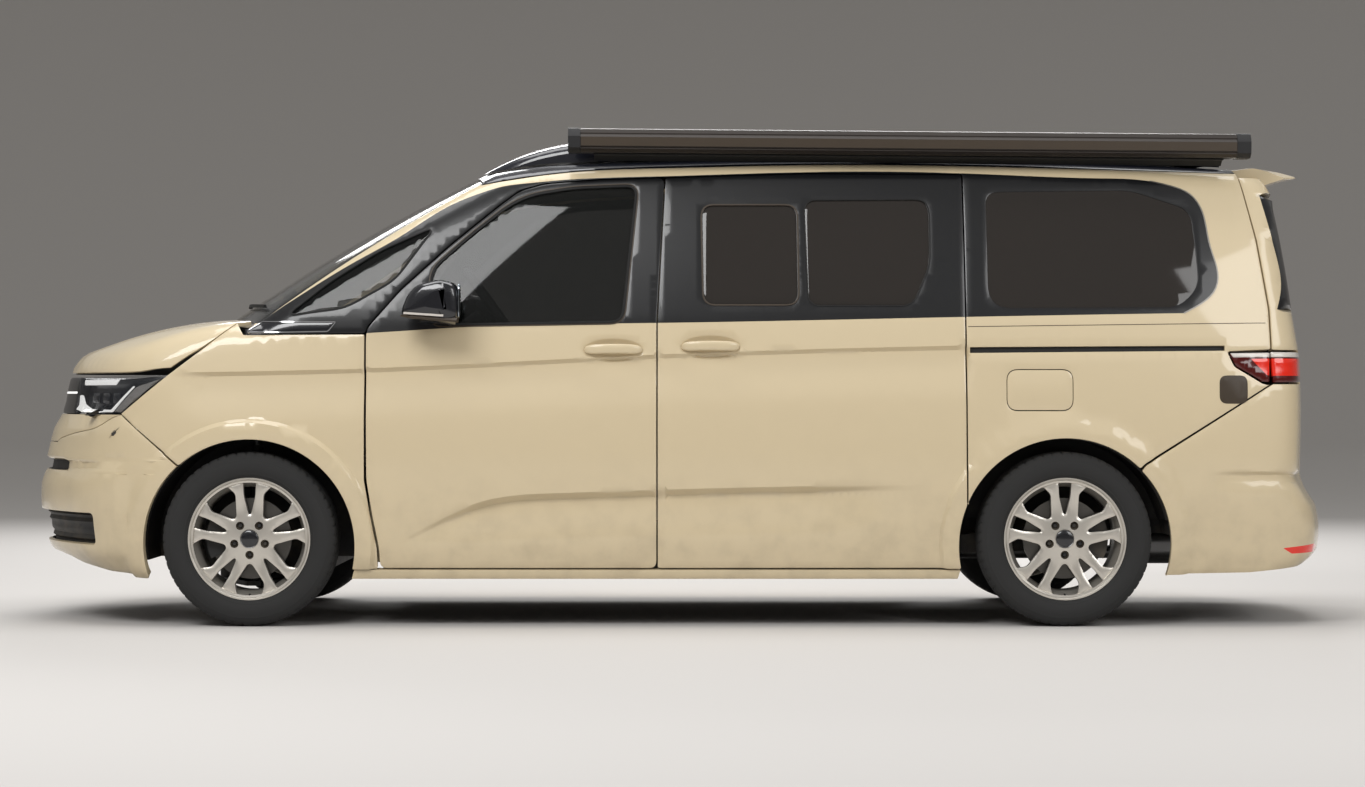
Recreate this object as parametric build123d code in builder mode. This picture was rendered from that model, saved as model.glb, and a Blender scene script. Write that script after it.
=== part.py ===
"""Camper van with a pop-up roof, a wind-out awning and alloy wheels.

The vehicle stands on its tyres at z = 0, with the origin under the middle of its length and
width. X runs rearwards, Y to the vehicle's right and Z up, so the left side faces -Y.
All sizes are millimetres.

Two lofted volumes give the body its form. The side volume is lofted along X through
cross-sections and holds the flanks, with their turn-under, widest line, belt and tumblehome.
The profile volume is lofted along Y through side views and holds the nose, bonnet, windscreen,
roof skin, tailgate and bumpers. Their common part is the outer skin. Every panel is cut from
that skin by an outline drawn in side view, so neighbouring panels stay flush.
"""

import os
from math import cos, radians, sin

from build123d import *

# Overall sizes
LENGTH = 5173.0
WHEELBASE = 3124.0
FRONT_OVERHANG = 950.0
FRONT_AXLE_X = FRONT_OVERHANG - LENGTH / 2
REAR_AXLE_X = FRONT_AXLE_X + WHEELBASE
REACH = 1400.0

# Running gear
TYRE_R = 335.0
TYRE_WIDTH = 230.0
TREAD_WIDTH = 196.0
BEAD_R = 216.0
FLANGE_R = 234.0
RIM_WIDTH = 198.0
WHEEL_Y = 835.0
ARCH_R = 405.0
ARCH_Z = 312.0
FLARE_WIDTH = 72.0
FLARE_RISE = 6.0
SPOKE_PAIRS = 5
DISC_R = 155.0
SPINDLE_R = 30.0
FIT = 0.08
PIN_GAP = 0.4
BALL_JOINT = (765.0, 185.0)
STRUT_TOP = (655.0, 830.0)
STRUT_R = 24.0
ROD_R = 11.0

# Walls and gaps
SIDE_WALL = 66.0
DOOR_WALL = 58.0
FLANGE = 9.0
HEM = 24.0
ROOF_WALL = 40.0
TAILGATE_WALL = 55.0
BUMPER_WALL = 30.0
BONNET_WALL = 22.0
GLASS = 5.0
PILLAR_TOP = 1740.0
PILLAR_DEPTH = 50.0
SHUT_GAP = 7.0
HALF_GAP = SHUT_GAP / 2
LINER = 10.0
FLOOR_TOP = 405.0
FLOOR_BOTTOM = 345.0
FIREWALL_X = -1480.0

# Cross-sections of the side volume: x, then the half widths low down, at the widest, at the
# belt and at the roof rail
SECTIONS = [
    (-2660, 550, 590, 530, 370),
    (-2420, 762, 798, 732, 532),
    (-2205, 860, 889, 842, 632),
    (-1950, 918, 943, 892, 692),
    (-1500, 935, 957, 917, 734),
    (-800, 938, 960, 930, 752),
    (200, 939, 961, 932, 762),
    (1300, 937, 960, 929, 756),
    (2000, 922, 951, 910, 734),
    (2350, 885, 921, 864, 692),
    (2660, 772, 806, 752, 602),
]
TURN_UNDER_Z = 345.0
WIDEST_Z = 690.0
BELT_Z = 1175.0
RAIL_Z = 1742.0
RAIL_ROUND = 56.0

# Side view of the profile volume on the centreline, clockwise from the chin. Columns: where an
# edge ends, the point that an arc passes through, and how far the end has moved by y = 1000,
# rearwards and down
CHIN = (-2360, 190, 430, 0)
PROFILE = [
    (-2548, 290, (-2478, 224), 470, 0),
    (-2572, 690, (-2586.5, 480), 470, 0),
    (-2520, 800, (-2558, 758), 450, 0),
    (-2490, 945, None, 430, 0),
    (-2400, 1055, (-2458, 1012), 400, 20),
    (-1800, 1188, (-2120, 1148), 257, 25),
    (-800, 1765, (-1312, 1496), 200, 40),
    (-450, 1812, (-640, 1796), 150, 60),
    (2180, 1795, (900, 1835), 0, 75),
    (2385, 1715, (2312, 1766), -130, 60),
    (2488, 1215, (2454, 1470), -150, 0),
    (2512, 1060, None, -150, 0),
    (2503, 585, None, -160, 0),
    (2566, 470, (2526, 520), -185, 0),
    (2576, 270, (2585, 370), -190, 0),
    (2500, 205, None, -190, 0),
]
BOW_REACH = 1000.0
SCREEN_BOW = (257, 25)

# Seams and openings in side view, as (x, z)
FRONT_DOOR = [
    (-1192, 1121), (-1189, 560), (-1166, 420), (-1142, 300), (-1139, 220), (-75, 220),
    (-75, 1165), (-45, 1731), (-300, 1723), (-510, 1706), (-607, 1678), (-683, 1621),
    (-872, 1464), (-1061, 1289), (-1181, 1150),
]
SLIDING_DOOR = [
    (-75, 220), (1400, 220), (1400, 480), (1114, 540), (1112, 791), (1107, 1185),
    (1106, 1741), (500, 1745), (-45, 1731), (-75, 1165),
]
FRONT_GLASS = [
    (-944, 1152), (-944, 1370), (-797, 1503), (-650, 1622), (-560, 1664), (-400, 1690),
    (-150, 1700), (-205, 1164),
]
QUARTER_GLASS = [(-1500, 1190), (-1271, 1220), (-1082, 1328), (-930, 1538), (-1142, 1444), (-1331, 1325)]
FRONT_SLIDING_GLASS = [(98, 1617), (462, 1617), (465, 1235), (105, 1235)]
REAR_SLIDING_GLASS = [(493, 1637), (953, 1640), (973, 1600), (971, 1387), (905, 1231), (507, 1231)]
REAR_SIDE_GLASS = [
    (1194, 1672), (1755, 1680), (1986, 1602), (2003, 1406), (2006, 1300), (1927, 1223),
    (1240, 1219), (1194, 1265),
]
TAILGATE_SEAM = [
    (2182, 1900), (2182, 1770), (2240, 1485), (2278, 1213), (2281, 1059), (2277, 932),
    (2340, 700), (2365, 588),
]
TAIL_LAMP = [(2112, 1051), (2800, 1057), (2800, 933), (2246, 932), (2137, 995)]
BUMPER_TO_ARCH = (-1898, 607)
LAMP_INNER_Y = 560.0
TAIL_LAMP_INNER_Y = 520.0
PROFILE_GLASS = 7.0

# Steering wheel
STEERING_CENTRE = (-730.0, -420.0, 1233.0)
STEERING_LEAN = 36.0

PARTS = "parts"


def save(part, name):
    """Label a finished piece and write its file."""
    part.label = name
    export_step(part, f"{PARTS}/{name}.step")


def across(part):
    """The same piece on the other side of the vehicle."""
    return mirror(part, about=Plane.XZ)


def flank(inset):
    """The side volume, with each half width less by inset."""
    with BuildPart() as volume:
        for x, *widths in SECTIONS:
            low, wide, belt, rail = (width - inset for width in widths)
            cant = (belt + rail) / 2 + 14
            top = rail - RAIL_ROUND
            foot = (low - 44, 150)
            edges = [
                ((low - 15, 250), (low, TURN_UNDER_Z)),
                ((wide, WIDEST_Z), (belt, BELT_Z)),
                ((cant, (BELT_Z + RAIL_Z) / 2), (rail, RAIL_Z)),
                ((rail - 14, RAIL_Z + 38), (top, RAIL_Z + RAIL_ROUND)),
                (None, (top - 6, 2100)),
            ]
            with BuildSketch(Plane.YZ.offset(x)):
                with BuildLine():
                    at = foot
                    for via, end in edges:
                        ThreePointArc(at, via, end) if via else Line(at, end)
                        at = end
                    mirror(about=Plane.YZ)
                    Line(foot, (-foot[0], foot[1]))
                    Line(at, (-at[0], at[1]))
                make_face()
        loft()
    return volume.part


def bowed(points, bow):
    """A prism across the vehicle whose side-view outline moves with the square of y."""
    with BuildPart() as volume:
        for y in (-BOW_REACH, -BOW_REACH / 2, 0, BOW_REACH / 2, BOW_REACH):
            share = (y / BOW_REACH) ** 2
            with BuildSketch(Plane.XZ.offset(-y)):
                with BuildLine():
                    moved = [(x + bow[0] * share, z - bow[1] * share) for x, z in points]
                    Polyline(*moved, close=True)
                make_face()
        loft()
    return volume.part


def profile():
    """The profile volume: side views at five stations across the width, each moved by a
    parabola from the centreline, which crowns the nose, screen, roof and tailgate."""
    with BuildPart() as volume:
        for y in (-BOW_REACH, -BOW_REACH / 2, 0, BOW_REACH / 2, BOW_REACH):
            share = (y / BOW_REACH) ** 2
            with BuildSketch(Plane.XZ.offset(-y)):
                with BuildLine():
                    first = at = (CHIN[0] + CHIN[2] * share, CHIN[1] - CHIN[3] * share)
                    shift_at = CHIN[2:]
                    for x, z, via, back, down in PROFILE:
                        end = (x + back * share, z - down * share)
                        if via:
                            via_back = (shift_at[0] + back) / 2 * share
                            via_down = (shift_at[1] + down) / 2 * share
                            ThreePointArc(at, (via[0] + via_back, via[1] - via_down), end)
                        else:
                            Line(at, end)
                        at, shift_at = end, (back, down)
                    Line(at, first)
                make_face()
        loft()
    return volume.part


def drawn_out(outline, grow=0.0, corner=0.0, near=0.0, far=REACH):
    """A prism to the left of the centreline with a side-view outline."""
    with BuildPart() as prism:
        with BuildSketch(Plane.XZ.offset(near)):
            with BuildLine():
                Polyline(*outline, close=True)
            make_face()
            if grow:
                offset(amount=grow, kind=Kind.INTERSECTION)
            if corner:
                fillet(vertices(), corner)
        extrude(amount=far - near)
    return prism.part


def round_bar(x, z, radius, near, far):
    """A cylinder across the vehicle, from y = -near to y = -far."""
    with BuildPart() as bar:
        with BuildSketch(Plane.XZ.offset(near)):
            with Locations((x, z)):
                Circle(radius)
        extrude(amount=far - near)
    return bar.part


def front_view(outline, x0, x1):
    """A prism along the vehicle with an outline given as (y, z)."""
    with BuildPart() as prism:
        with BuildSketch(Plane.YZ.offset(x0)):
            with BuildLine():
                Polyline(*outline, close=True)
            make_face()
        extrude(amount=x1 - x0)
    return prism.part


def block(low, high):
    """A box between two corners."""
    with BuildPart() as box:
        with Locations(Location(low)):
            Box(high[0] - low[0], high[1] - low[1], high[2] - low[2], align=(Align.MIN,) * 3)
    return box.part


os.makedirs(PARTS, exist_ok=True)

# Master volumes
side_volume = flank(0)
inner_side = flank(SIDE_WALL)
door_inner = flank(DOOR_WALL)
bumper_inner = flank(BUMPER_WALL)
profile_volume = profile()

with BuildPart() as arch_bands:
    with BuildSketch(Plane.XZ.offset(-REACH)):
        with Locations((FRONT_AXLE_X, ARCH_Z), (REAR_AXLE_X, ARCH_Z)):
            Circle(ARCH_R + FLARE_WIDTH)
        with Locations((FRONT_AXLE_X, ARCH_Z), (REAR_AXLE_X, ARCH_Z)):
            Circle(ARCH_R - 20, mode=Mode.SUBTRACT)
    extrude(amount=2 * REACH)

with BuildPart() as flares:
    add(flank(-FLARE_RISE))
    add(arch_bands.part, mode=Mode.INTERSECT)
    add(profile_volume, mode=Mode.INTERSECT)

with BuildPart() as skin:
    add(side_volume)
    add(profile_volume, mode=Mode.INTERSECT)
    add(flares.part)
    arches = [
        round_bar(axle_x, ARCH_Z, ARCH_R, near, far)
        for axle_x in (FRONT_AXLE_X, REAR_AXLE_X)
        for near, far in ((500.0, REACH), (-REACH, -500.0))
    ]
    add(arches, mode=Mode.SUBTRACT)
skin_left = skin.part & block((-3000, -REACH, 0), (3000, 0, 2400))
side_shell = skin_left - inner_side
door_shell = skin_left - door_inner
glass_shell = (side_volume & block((-3000, -REACH, 900), (3000, 0, 2000))) - flank(GLASS)
core = inner_side & profile_volume
screen_skin = core - profile_volume.moved(Location((0, 0, -PROFILE_GLASS)))
roof_skin = core - profile_volume.moved(Location((0, 0, -ROOF_WALL)))

# Regions in side view that the seams enclose
SIDE_FRAME = (
    [(-1661, 1118), (-1681, 1176), (-2000, 1500), (-900, 2100), (2182, 2100)]
    + TAILGATE_SEAM[1:6]
    + [(1740, 588), (1700, 500), (1300, 150), (-1400, 150), (-1400, 215), (-1120, 215), (-1120, 1118)]
)
WING = [
    (-1945, 965), (-1810, 1067), (-1678, 1174), (-1661, 1118), (-1100, 1118), (-1100, 217),
    (-1400, 217), (-1700, 400), BUMPER_TO_ARCH, (-2136, 813),
]
FRONT_BUMPER = [
    (-2136, 813), BUMPER_TO_ARCH, (-1700, 400), (-1700, 100), (-2800, 100), (-2800, 815),
]
HEADLAMP_AND_GRILLE = [(-1945, 965), (-2136, 813), (-2800, 815), (-2800, 958), (-2404, 960)]
BONNET = [(-1945, 965), (-1810, 1067), (-1678, 1174), (-1678, 1500), (-2800, 1500), (-2800, 958), (-2404, 960)]
TAILGATE = TAILGATE_SEAM + [(2800, 588), (2800, 1900)]
REAR_BUMPER = TAILGATE_SEAM[5:] + [(2800, 588), (2800, 100), (1500, 100), (1500, 400), (1740, 588)]
INTAKE = [(-2800, 309), (-2233, 309), (-2233, 436), (-2800, 436)]
FIXED_SEAM = -1.5

# Doors, side frames and side glass
front_door_hole = drawn_out(FRONT_DOOR, HALF_GAP)
sliding_door_hole = drawn_out(SLIDING_DOOR, HALF_GAP)
front_glass_cut = drawn_out(FRONT_GLASS)
sliding_glass_cuts = [drawn_out(outline) for outline in (FRONT_SLIDING_GLASS, REAR_SLIDING_GLASS)]
frame_glass_cuts = [drawn_out(outline) for outline in (QUARTER_GLASS, REAR_SIDE_GLASS)]

with BuildPart() as side_frame:
    add(side_shell)
    add(drawn_out(SIDE_FRAME, FIXED_SEAM), mode=Mode.INTERSECT)
    add([front_door_hole, sliding_door_hole, drawn_out(TAIL_LAMP)] + frame_glass_cuts, mode=Mode.SUBTRACT)
    pillar = block((-125, -REACH, FLOOR_TOP), (-25, 0, PILLAR_TOP)) & inner_side
    add(pillar - flank(SIDE_WALL + PILLAR_DEPTH))

with BuildPart() as front_door:
    add(door_shell)
    add(drawn_out(FRONT_DOOR, -HALF_GAP), mode=Mode.INTERSECT)
    add(front_glass_cut, mode=Mode.SUBTRACT)
    hem_line = [(-75 - HEM, 100), (-75 - HEM, 1165), (-45 - HEM, 1731), (-45 - HEM, 1900), (50, 1900), (50, 100)]
    add(drawn_out(hem_line) & flank(FLANGE), mode=Mode.SUBTRACT)

with BuildPart() as sliding_door:
    add(door_shell)
    add(drawn_out(SLIDING_DOOR, -HALF_GAP), mode=Mode.INTERSECT)
    add(sliding_glass_cuts, mode=Mode.SUBTRACT)

with BuildPart() as door_window:
    add(glass_shell)
    add(front_glass_cut, mode=Mode.INTERSECT)

with BuildPart() as fixed_glass:
    for cut in sliding_glass_cuts + frame_glass_cuts:
        add(glass_shell & cut)

MIRROR_OUTLINE = [(-1053, 1192), (-1010, 1303), (-901, 1328), (-820, 1303), (-808, 1155), (-1040, 1185)]
with BuildPart() as door_mirror:
    with BuildSketch(Plane.XZ.offset(982)):
        with BuildLine():
            Polyline(*MIRROR_OUTLINE, close=True)
        make_face()
        fillet(vertices(), 8)
    extrude(amount=144)
    with BuildSketch(Plane.XZ.offset(880)):
        with BuildLine():
            Polyline((-1010, 1140), (-830, 1140), (-838, 1176), (-990, 1186), close=True)
        make_face()
    extrude(amount=112)
    add(side_volume, mode=Mode.SUBTRACT)

with BuildPart() as wing:
    add(side_shell)
    add(drawn_out(WING, FIXED_SEAM), mode=Mode.INTERSECT)
    add(front_door_hole, mode=Mode.SUBTRACT)

for side, turned in (("left", lambda part: part), ("right", across)):
    save(turned(side_frame.part), f"{side}_side_frame")
    save(turned(front_door.part), f"{side}_front_door")
    save(turned(door_window.part), f"{side}_door_window")
    save(turned(door_mirror.part), f"{side}_mirror")
    save(turned(sliding_door.part), f"{side}_sliding_door")

with BuildPart() as side_windows:
    add(fixed_glass.part)
    add(across(fixed_glass.part))
save(side_windows.part, "side_windows")

with BuildPart() as front_wings:
    add(wing.part)
    add(across(wing.part))
save(front_wings.part, "front_wings")

# Bonnet, windscreen and roof
full = {"near": -REACH, "far": REACH}
SCREEN_FOOT_X = -1793
SCREEN_HEAD_X = -815
with BuildPart() as bonnet:
    add(skin.part)
    add(drawn_out(BONNET, -HALF_GAP, **full), mode=Mode.INTERSECT)
    rear_x = SCREEN_FOOT_X - 9
    ahead = [(-3400, 500), (rear_x, 500), (rear_x, 1600), (-3400, 1600)]
    add(bowed(ahead, SCREEN_BOW), mode=Mode.INTERSECT)
    add(flank(BONNET_WALL) & profile_volume.moved(Location((14, 0, -BONNET_WALL))), mode=Mode.SUBTRACT)
save(bonnet.part, "bonnet")

with BuildPart() as windscreen:
    add(screen_skin)
    pane = [(SCREEN_FOOT_X, 1000), (SCREEN_FOOT_X, 1600), (-1200, 2100), (SCREEN_HEAD_X, 2100), (SCREEN_HEAD_X, 1500)]
    add(bowed(pane, SCREEN_BOW), mode=Mode.INTERSECT)
save(windscreen.part, "windscreen")

with BuildPart() as roof_frame:
    add(roof_skin)
    head_x = SCREEN_HEAD_X + 3
    header = [(head_x, 1500), (head_x, 2100), (2600, 2100), (2600, 1500)]
    add(bowed(header, SCREEN_BOW), mode=Mode.INTERSECT)
    add(block((-1500, -REACH, 1400), (2182 - 1.5, REACH, 2100)), mode=Mode.INTERSECT)
    add(block((-250, -430, 1400), (1250, 430, 2100)), mode=Mode.SUBTRACT)
save(roof_frame.part, "roof_frame")

# Pop-up roof lid: x, half width, height of the side edge and height of the crown
LID_LOW = 1600.0
LID_WALL = 26.0
LID_SECTIONS = [
    (-798, 490, 1742, 1764),
    (-700, 556, 1788, 1820),
    (-550, 598, 1842, 1880),
    (-330, 625, 1878, 1918),
    (200, 640, 1904, 1944),
    (700, 640, 1910, 1950),
    (1200, 640, 1906, 1946),
    (1700, 630, 1890, 1929),
    (1950, 622, 1876, 1914),
    (2128, 600, 1860, 1894),
]


def lid(inset, drop):
    """The lid's volume, narrower by inset all round and lower by drop."""
    with BuildPart() as volume:
        for x, half, edge, crown in LID_SECTIONS:
            w = half - inset
            e, c = edge - drop, crown - drop
            with BuildSketch(Plane.YZ.offset(x)):
                with BuildLine():
                    Line((w + 6, LID_LOW), (w, e - 34))
                    ThreePointArc((w, e - 34), (w - 12, e - 10), (w - 42, e))
                    Line((-w - 6, LID_LOW), (-w, e - 34))
                    ThreePointArc((-w, e - 34), (-w + 12, e - 10), (-w + 42, e))
                    ThreePointArc((w - 42, e), (0, c), (-w + 42, e))
                    Line((w + 6, LID_LOW), (-w - 6, LID_LOW))
                make_face()
        loft()
    return volume.part


with BuildPart() as pop_roof:
    add(lid(0, 0))
    hollow = lid(LID_WALL, LID_WALL) & block((-600, -REACH, 1500), (2128 - LID_WALL, REACH, 2100))
    add([hollow, profile_volume.moved(Location((0, 0, 8)))], mode=Mode.SUBTRACT)
save(pop_roof.part, "pop_roof")

# Nose
with BuildPart() as front_bumper:
    add(skin.part)
    add(drawn_out(FRONT_BUMPER, FIXED_SEAM, **full), mode=Mode.INTERSECT)
    hollow = bumper_inner & profile_volume.moved(Location((BUMPER_WALL, 0, -20)))
    add([hollow, drawn_out(INTAKE, **full)], mode=Mode.SUBTRACT)
save(front_bumper.part, "front_bumper")

LAMP_DEPTH = 70.0
lamp_band = skin.part & drawn_out(HEADLAMP_AND_GRILLE, FIXED_SEAM, **full)
lamp_back = flank(LAMP_DEPTH) & profile_volume.moved(Location((LAMP_DEPTH, 0, 0)))
with BuildPart() as headlamps:
    add(lamp_band)
    add(lamp_back, mode=Mode.SUBTRACT)
    add(block((-3000, -LAMP_INNER_Y, 0), (0, LAMP_INNER_Y, 2000)), mode=Mode.SUBTRACT)
save(headlamps.part, "headlamps")

GRILLE_SET_BACK = 12.0
GRILLE_DEPTH = 20.0
SLAT_HEIGHT = 12.0
SLAT_PITCH = 31.0
slat_front = flank(GRILLE_SET_BACK) & profile_volume.moved(Location((GRILLE_SET_BACK, 0, 0)))
slat_back_set = GRILLE_SET_BACK + GRILLE_DEPTH
slat_back = flank(slat_back_set) & profile_volume.moved(Location((slat_back_set, 0, 0)))
with BuildPart() as lattice:
    for row in range(4):
        z = 309 + 17 + row * SLAT_PITCH
        add(block((-2700, -REACH, z - SLAT_HEIGHT / 2), (-2100, REACH, z + SLAT_HEIGHT / 2)))
    for column in range(-4, 5):
        y = column * 190
        add(block((-2700, y - 6, 300), (-2100, y + 6, 440)))

with BuildPart() as front_grille:
    add(lamp_band)
    add(flank(GRILLE_DEPTH) & profile_volume.moved(Location((GRILLE_DEPTH, 0, 0))), mode=Mode.SUBTRACT)
    inner_half = LAMP_INNER_Y - 3
    add(block((-3000, -inner_half, 0), (-2300, inner_half, 2000)), mode=Mode.INTERSECT)
    slats = lattice.part & drawn_out(INTAKE, **full)
    add((slats & slat_front) - slat_back)
save(front_grille.part, "front_grille")

# Tail
tail_shell = skin.part & drawn_out(TAILGATE, -HALF_GAP, **full)
tail_hollow = flank(TAILGATE_WALL) & profile_volume.moved(Location((-TAILGATE_WALL, 0, -32)))
REAR_WINDOW = [(-700, 1150), (700, 1150), (640, 1600), (560, 1640), (-560, 1640), (-640, 1600)]
rear_window_cut = front_view(REAR_WINDOW, 2200, 2800)
tail_lamp_cut = drawn_out(TAIL_LAMP, far=REACH, near=TAIL_LAMP_INNER_Y)
SPOILER = [(2232, 1780), (2250, 1806), (2350, 1790), (2470, 1764), (2472, 1756), (2388, 1738), (2340, 1735)]
SPOILER_HALF = 640.0
with BuildPart() as tailgate:
    add(tail_shell)
    add(bowed(SPOILER, (-110, 66)) & block((2000, -SPOILER_HALF, 1500), (3000, SPOILER_HALF, 2000)))
    add(tail_hollow, mode=Mode.SUBTRACT)
    add([rear_window_cut, tail_lamp_cut, across(tail_lamp_cut)], mode=Mode.SUBTRACT)
save(tailgate.part, "tailgate")

with BuildPart() as rear_window:
    add(profile_volume - profile_volume.moved(Location((-GLASS - 1, 0, 0))))
    add(rear_window_cut, mode=Mode.INTERSECT)
save(rear_window.part, "rear_window")

with BuildPart() as tailgate_lamps:
    add((tail_shell - tail_hollow) & drawn_out(TAIL_LAMP, -1, near=TAIL_LAMP_INNER_Y + 1))
    mirror(about=Plane.XZ)
save(tailgate_lamps.part, "tailgate_lamps")

with BuildPart() as tail_lamps:
    add(side_shell & drawn_out(TAIL_LAMP, -1) & drawn_out(SIDE_FRAME, FIXED_SEAM))
    mirror(about=Plane.XZ)
save(tail_lamps.part, "tail_lamps")

with BuildPart() as rear_bumper:
    add(skin.part)
    add(drawn_out(REAR_BUMPER, FIXED_SEAM, **full), mode=Mode.INTERSECT)
    add(bumper_inner & profile_volume.moved(Location((-BUMPER_WALL, 0, -40))), mode=Mode.SUBTRACT)
save(rear_bumper.part, "rear_bumper")

# Awning on the left rail
AWNING = [(-704, 1908), (-738, 1924), (-812, 1917), (-832, 1886), (-829, 1842), (-803, 1824), (-712, 1824)]
AWNING_FRONT_X = -421.0
AWNING_LENGTH = 2640.0
AWNING_SLOPE = 0.5
slope = Vector(cos(radians(AWNING_SLOPE)), 0, -sin(radians(AWNING_SLOPE)))
awning_plane = Plane(origin=(AWNING_FRONT_X, 0, 0), x_dir=(0, 1, 0), z_dir=slope)
with BuildPart() as awning:
    with BuildSketch(awning_plane):
        with BuildLine():
            Polyline(*AWNING, close=True)
        make_face()
        fillet(vertices(), 9)
    extrude(amount=AWNING_LENGTH)
    for x in (-150, 850, 1900):
        with Locations((x, -730, 1808)):
            Box(90, 60, 60)
    add(skin.part, mode=Mode.SUBTRACT)
save(awning.part, "awning")

# Floor with sill beams and jack pads, wheelhouses and firewall
SILL_BEAM_Z = 200
JACK_PAD_X = (-980, 880)
JACK_PAD_Y = 805
JACK_PAD_Z = 186
with BuildPart() as floor_pan:
    add(block((-1222, -REACH, FLOOR_BOTTOM), (2290, REACH, FLOOR_TOP)))
    add(block((FIREWALL_X - 20, -490, FLOOR_BOTTOM), (-1222, 490, FLOOR_TOP)))
    add(inner_side, mode=Mode.INTERSECT)
    for near, far in ((600.0, REACH), (-REACH, -600.0)):
        add(round_bar(REAR_AXLE_X, ARCH_Z, ARCH_R + LINER + 1, near, far), mode=Mode.SUBTRACT)
    for sign in (-1, 1):
        low, high = sorted((sign * 400, sign * 480))
        add(block((-2330, low, 300), (-1300, high, FLOOR_BOTTOM)))
        low, high = sorted((sign * 760, sign * 950))
        add(block((-1130, low, SILL_BEAM_Z), (1020, high, FLOOR_BOTTOM)) & inner_side)
        low, high = sorted((sign * (JACK_PAD_Y - 25), sign * (JACK_PAD_Y + 25)))
        for x in JACK_PAD_X:
            add(block((x - 40, low, JACK_PAD_Z), (x + 40, high, SILL_BEAM_Z + 10)))
save(floor_pan.part, "floor_pan")

with BuildPart() as wheelhouses:
    for axle_x, near, cut_z in ((FRONT_AXLE_X, 495.0, 250.0), (REAR_AXLE_X, 600.0, FLOOR_TOP)):
        shell = round_bar(axle_x, ARCH_Z, ARCH_R + LINER, near, 1000)
        shell -= round_bar(axle_x, ARCH_Z, ARCH_R, near + LINER, 1000)
        shell &= inner_side
        shell &= block((-3000, -REACH, cut_z), (3000, 0, 2000))
        add(shell)
        add(across(shell))
save(wheelhouses.part, "wheelhouses")

with BuildPart() as firewall:
    add(block((FIREWALL_X - 20, -490, FLOOR_TOP), (FIREWALL_X, 490, 740)))
    add(block((FIREWALL_X - 20, -REACH, 732), (FIREWALL_X, REACH, 1130)))
    cowl = [(-1790, 1100), (FIREWALL_X - 152, 1100), (FIREWALL_X - 152, 1130), (-1740, 1150), (-1790, 1150)]
    add(block((-1640, -REACH, 1100), (FIREWALL_X, REACH, 1130)))
    add(bowed(cowl, (180, 15)))
    add(core.moved(Location((0, 0, -12))), mode=Mode.INTERSECT)
save(firewall.part, "firewall")

# Cabin
DASH = [
    (-1478, 1095), (-1430, 1150), (-1250, 1192), (-1010, 1188), (-930, 1160), (-902, 1110),
    (-925, 1020), (-1000, 930), (-1060, 880), (-1100, 700), (-1290, 640), (-1300, 740), (-1478, 740),
]
steering_lean = radians(STEERING_LEAN)
steering_axis = Vector(cos(steering_lean), 0, sin(steering_lean))
wheel_plane = Plane(origin=STEERING_CENTRE, x_dir=(0, 1, 0), z_dir=steering_axis)
WHEEL_RING_R = 178.0
with BuildPart() as dashboard:
    with BuildSketch(Plane.XZ.offset(-REACH)):
        with BuildLine():
            Polyline(*DASH, close=True)
        make_face()
    extrude(amount=2 * REACH)
    add(flank(82), mode=Mode.INTERSECT)
    with BuildSketch(wheel_plane.offset(-60)):
        Circle(30)
    extrude(amount=-210)
    with BuildSketch(wheel_plane.offset(-60)):
        Circle(9)
    extrude(amount=52)
save(dashboard.part, "dashboard")

with BuildPart() as steering_wheel:
    with BuildPart(wheel_plane):
        Torus(WHEEL_RING_R, 15)
        with Locations((0, 0, -22)):
            Cylinder(58, 50)
        for turn in (0, 180, 270):
            with Locations(Location((0, 0, -14), (0, 0, turn))):
                Box(WHEEL_RING_R, 40, 14, align=(Align.MIN, Align.CENTER, Align.CENTER))
    with BuildSketch(wheel_plane.offset(-60)):
        Circle(9 + PIN_GAP)
    extrude(amount=56, mode=Mode.SUBTRACT)
save(steering_wheel.part, "steering_wheel")

SEAT_HALF = 255.0
FRONT_SEAT_Y = 420.0
SEAT_CUSHION = [(-590, 735), (-600, 800), (-560, 850), (-100, 815), (-60, 735)]
SEAT_BACK = [(-96, 818), (28, 1400), (60, 1415), (128, 1395), (50, 820)]
HEADREST = [(62, 1420), (78, 1580), (160, 1575), (150, 1415)]
with BuildPart() as front_seats:
    for y in (-FRONT_SEAT_Y, FRONT_SEAT_Y):
        for outline, half, corner in (
            (SEAT_CUSHION, SEAT_HALF, 25),
            (SEAT_BACK, SEAT_HALF - 10, 20),
            (HEADREST, 130, 25),
        ):
            with BuildSketch(Plane.XZ.offset(-y - half)):
                with BuildLine():
                    Polyline(*outline, close=True)
                make_face()
                fillet(vertices(), corner)
            extrude(amount=2 * half)
        with Locations((-330, y, (FLOOR_TOP + 735) / 2)):
            Box(420, 380, 735 - FLOOR_TOP)
        with Locations(Location((104, y, 1410), (0, -6, 0))):
            Box(14, 120, 60)
save(front_seats.part, "front_seats")

with BuildPart() as rear_bench:
    for outline, corner in (
        ([(850, 700), (845, 800), (880, 850), (1350, 825), (1360, 700)], 25),
        ([(1345, 830), (1420, 1370), (1450, 1385), (1530, 1370), (1460, 760), (1365, 760)], 25),
    ):
        with BuildSketch(Plane.XZ.offset(-590)):
            with BuildLine():
                Polyline(*outline, close=True)
            make_face()
            fillet(vertices(), corner)
        extrude(amount=980)
    with Locations((1100, 100, (FLOOR_TOP + 700) / 2)):
        Box(420, 880, 700 - FLOOR_TOP)
save(rear_bench.part, "rear_bench")

KITCHEN = [(150, FLOOR_TOP), (1050, FLOOR_TOP), (1050, 740), (1900, 740), (1900, 1160), (150, 1160)]
with BuildPart() as kitchen_unit:
    with BuildSketch(Plane.XZ.offset(440)):
        with BuildLine():
            Polyline(*KITCHEN, close=True)
        make_face()
    extrude(amount=405)
save(kitchen_unit.part, "kitchen_unit")

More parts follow.
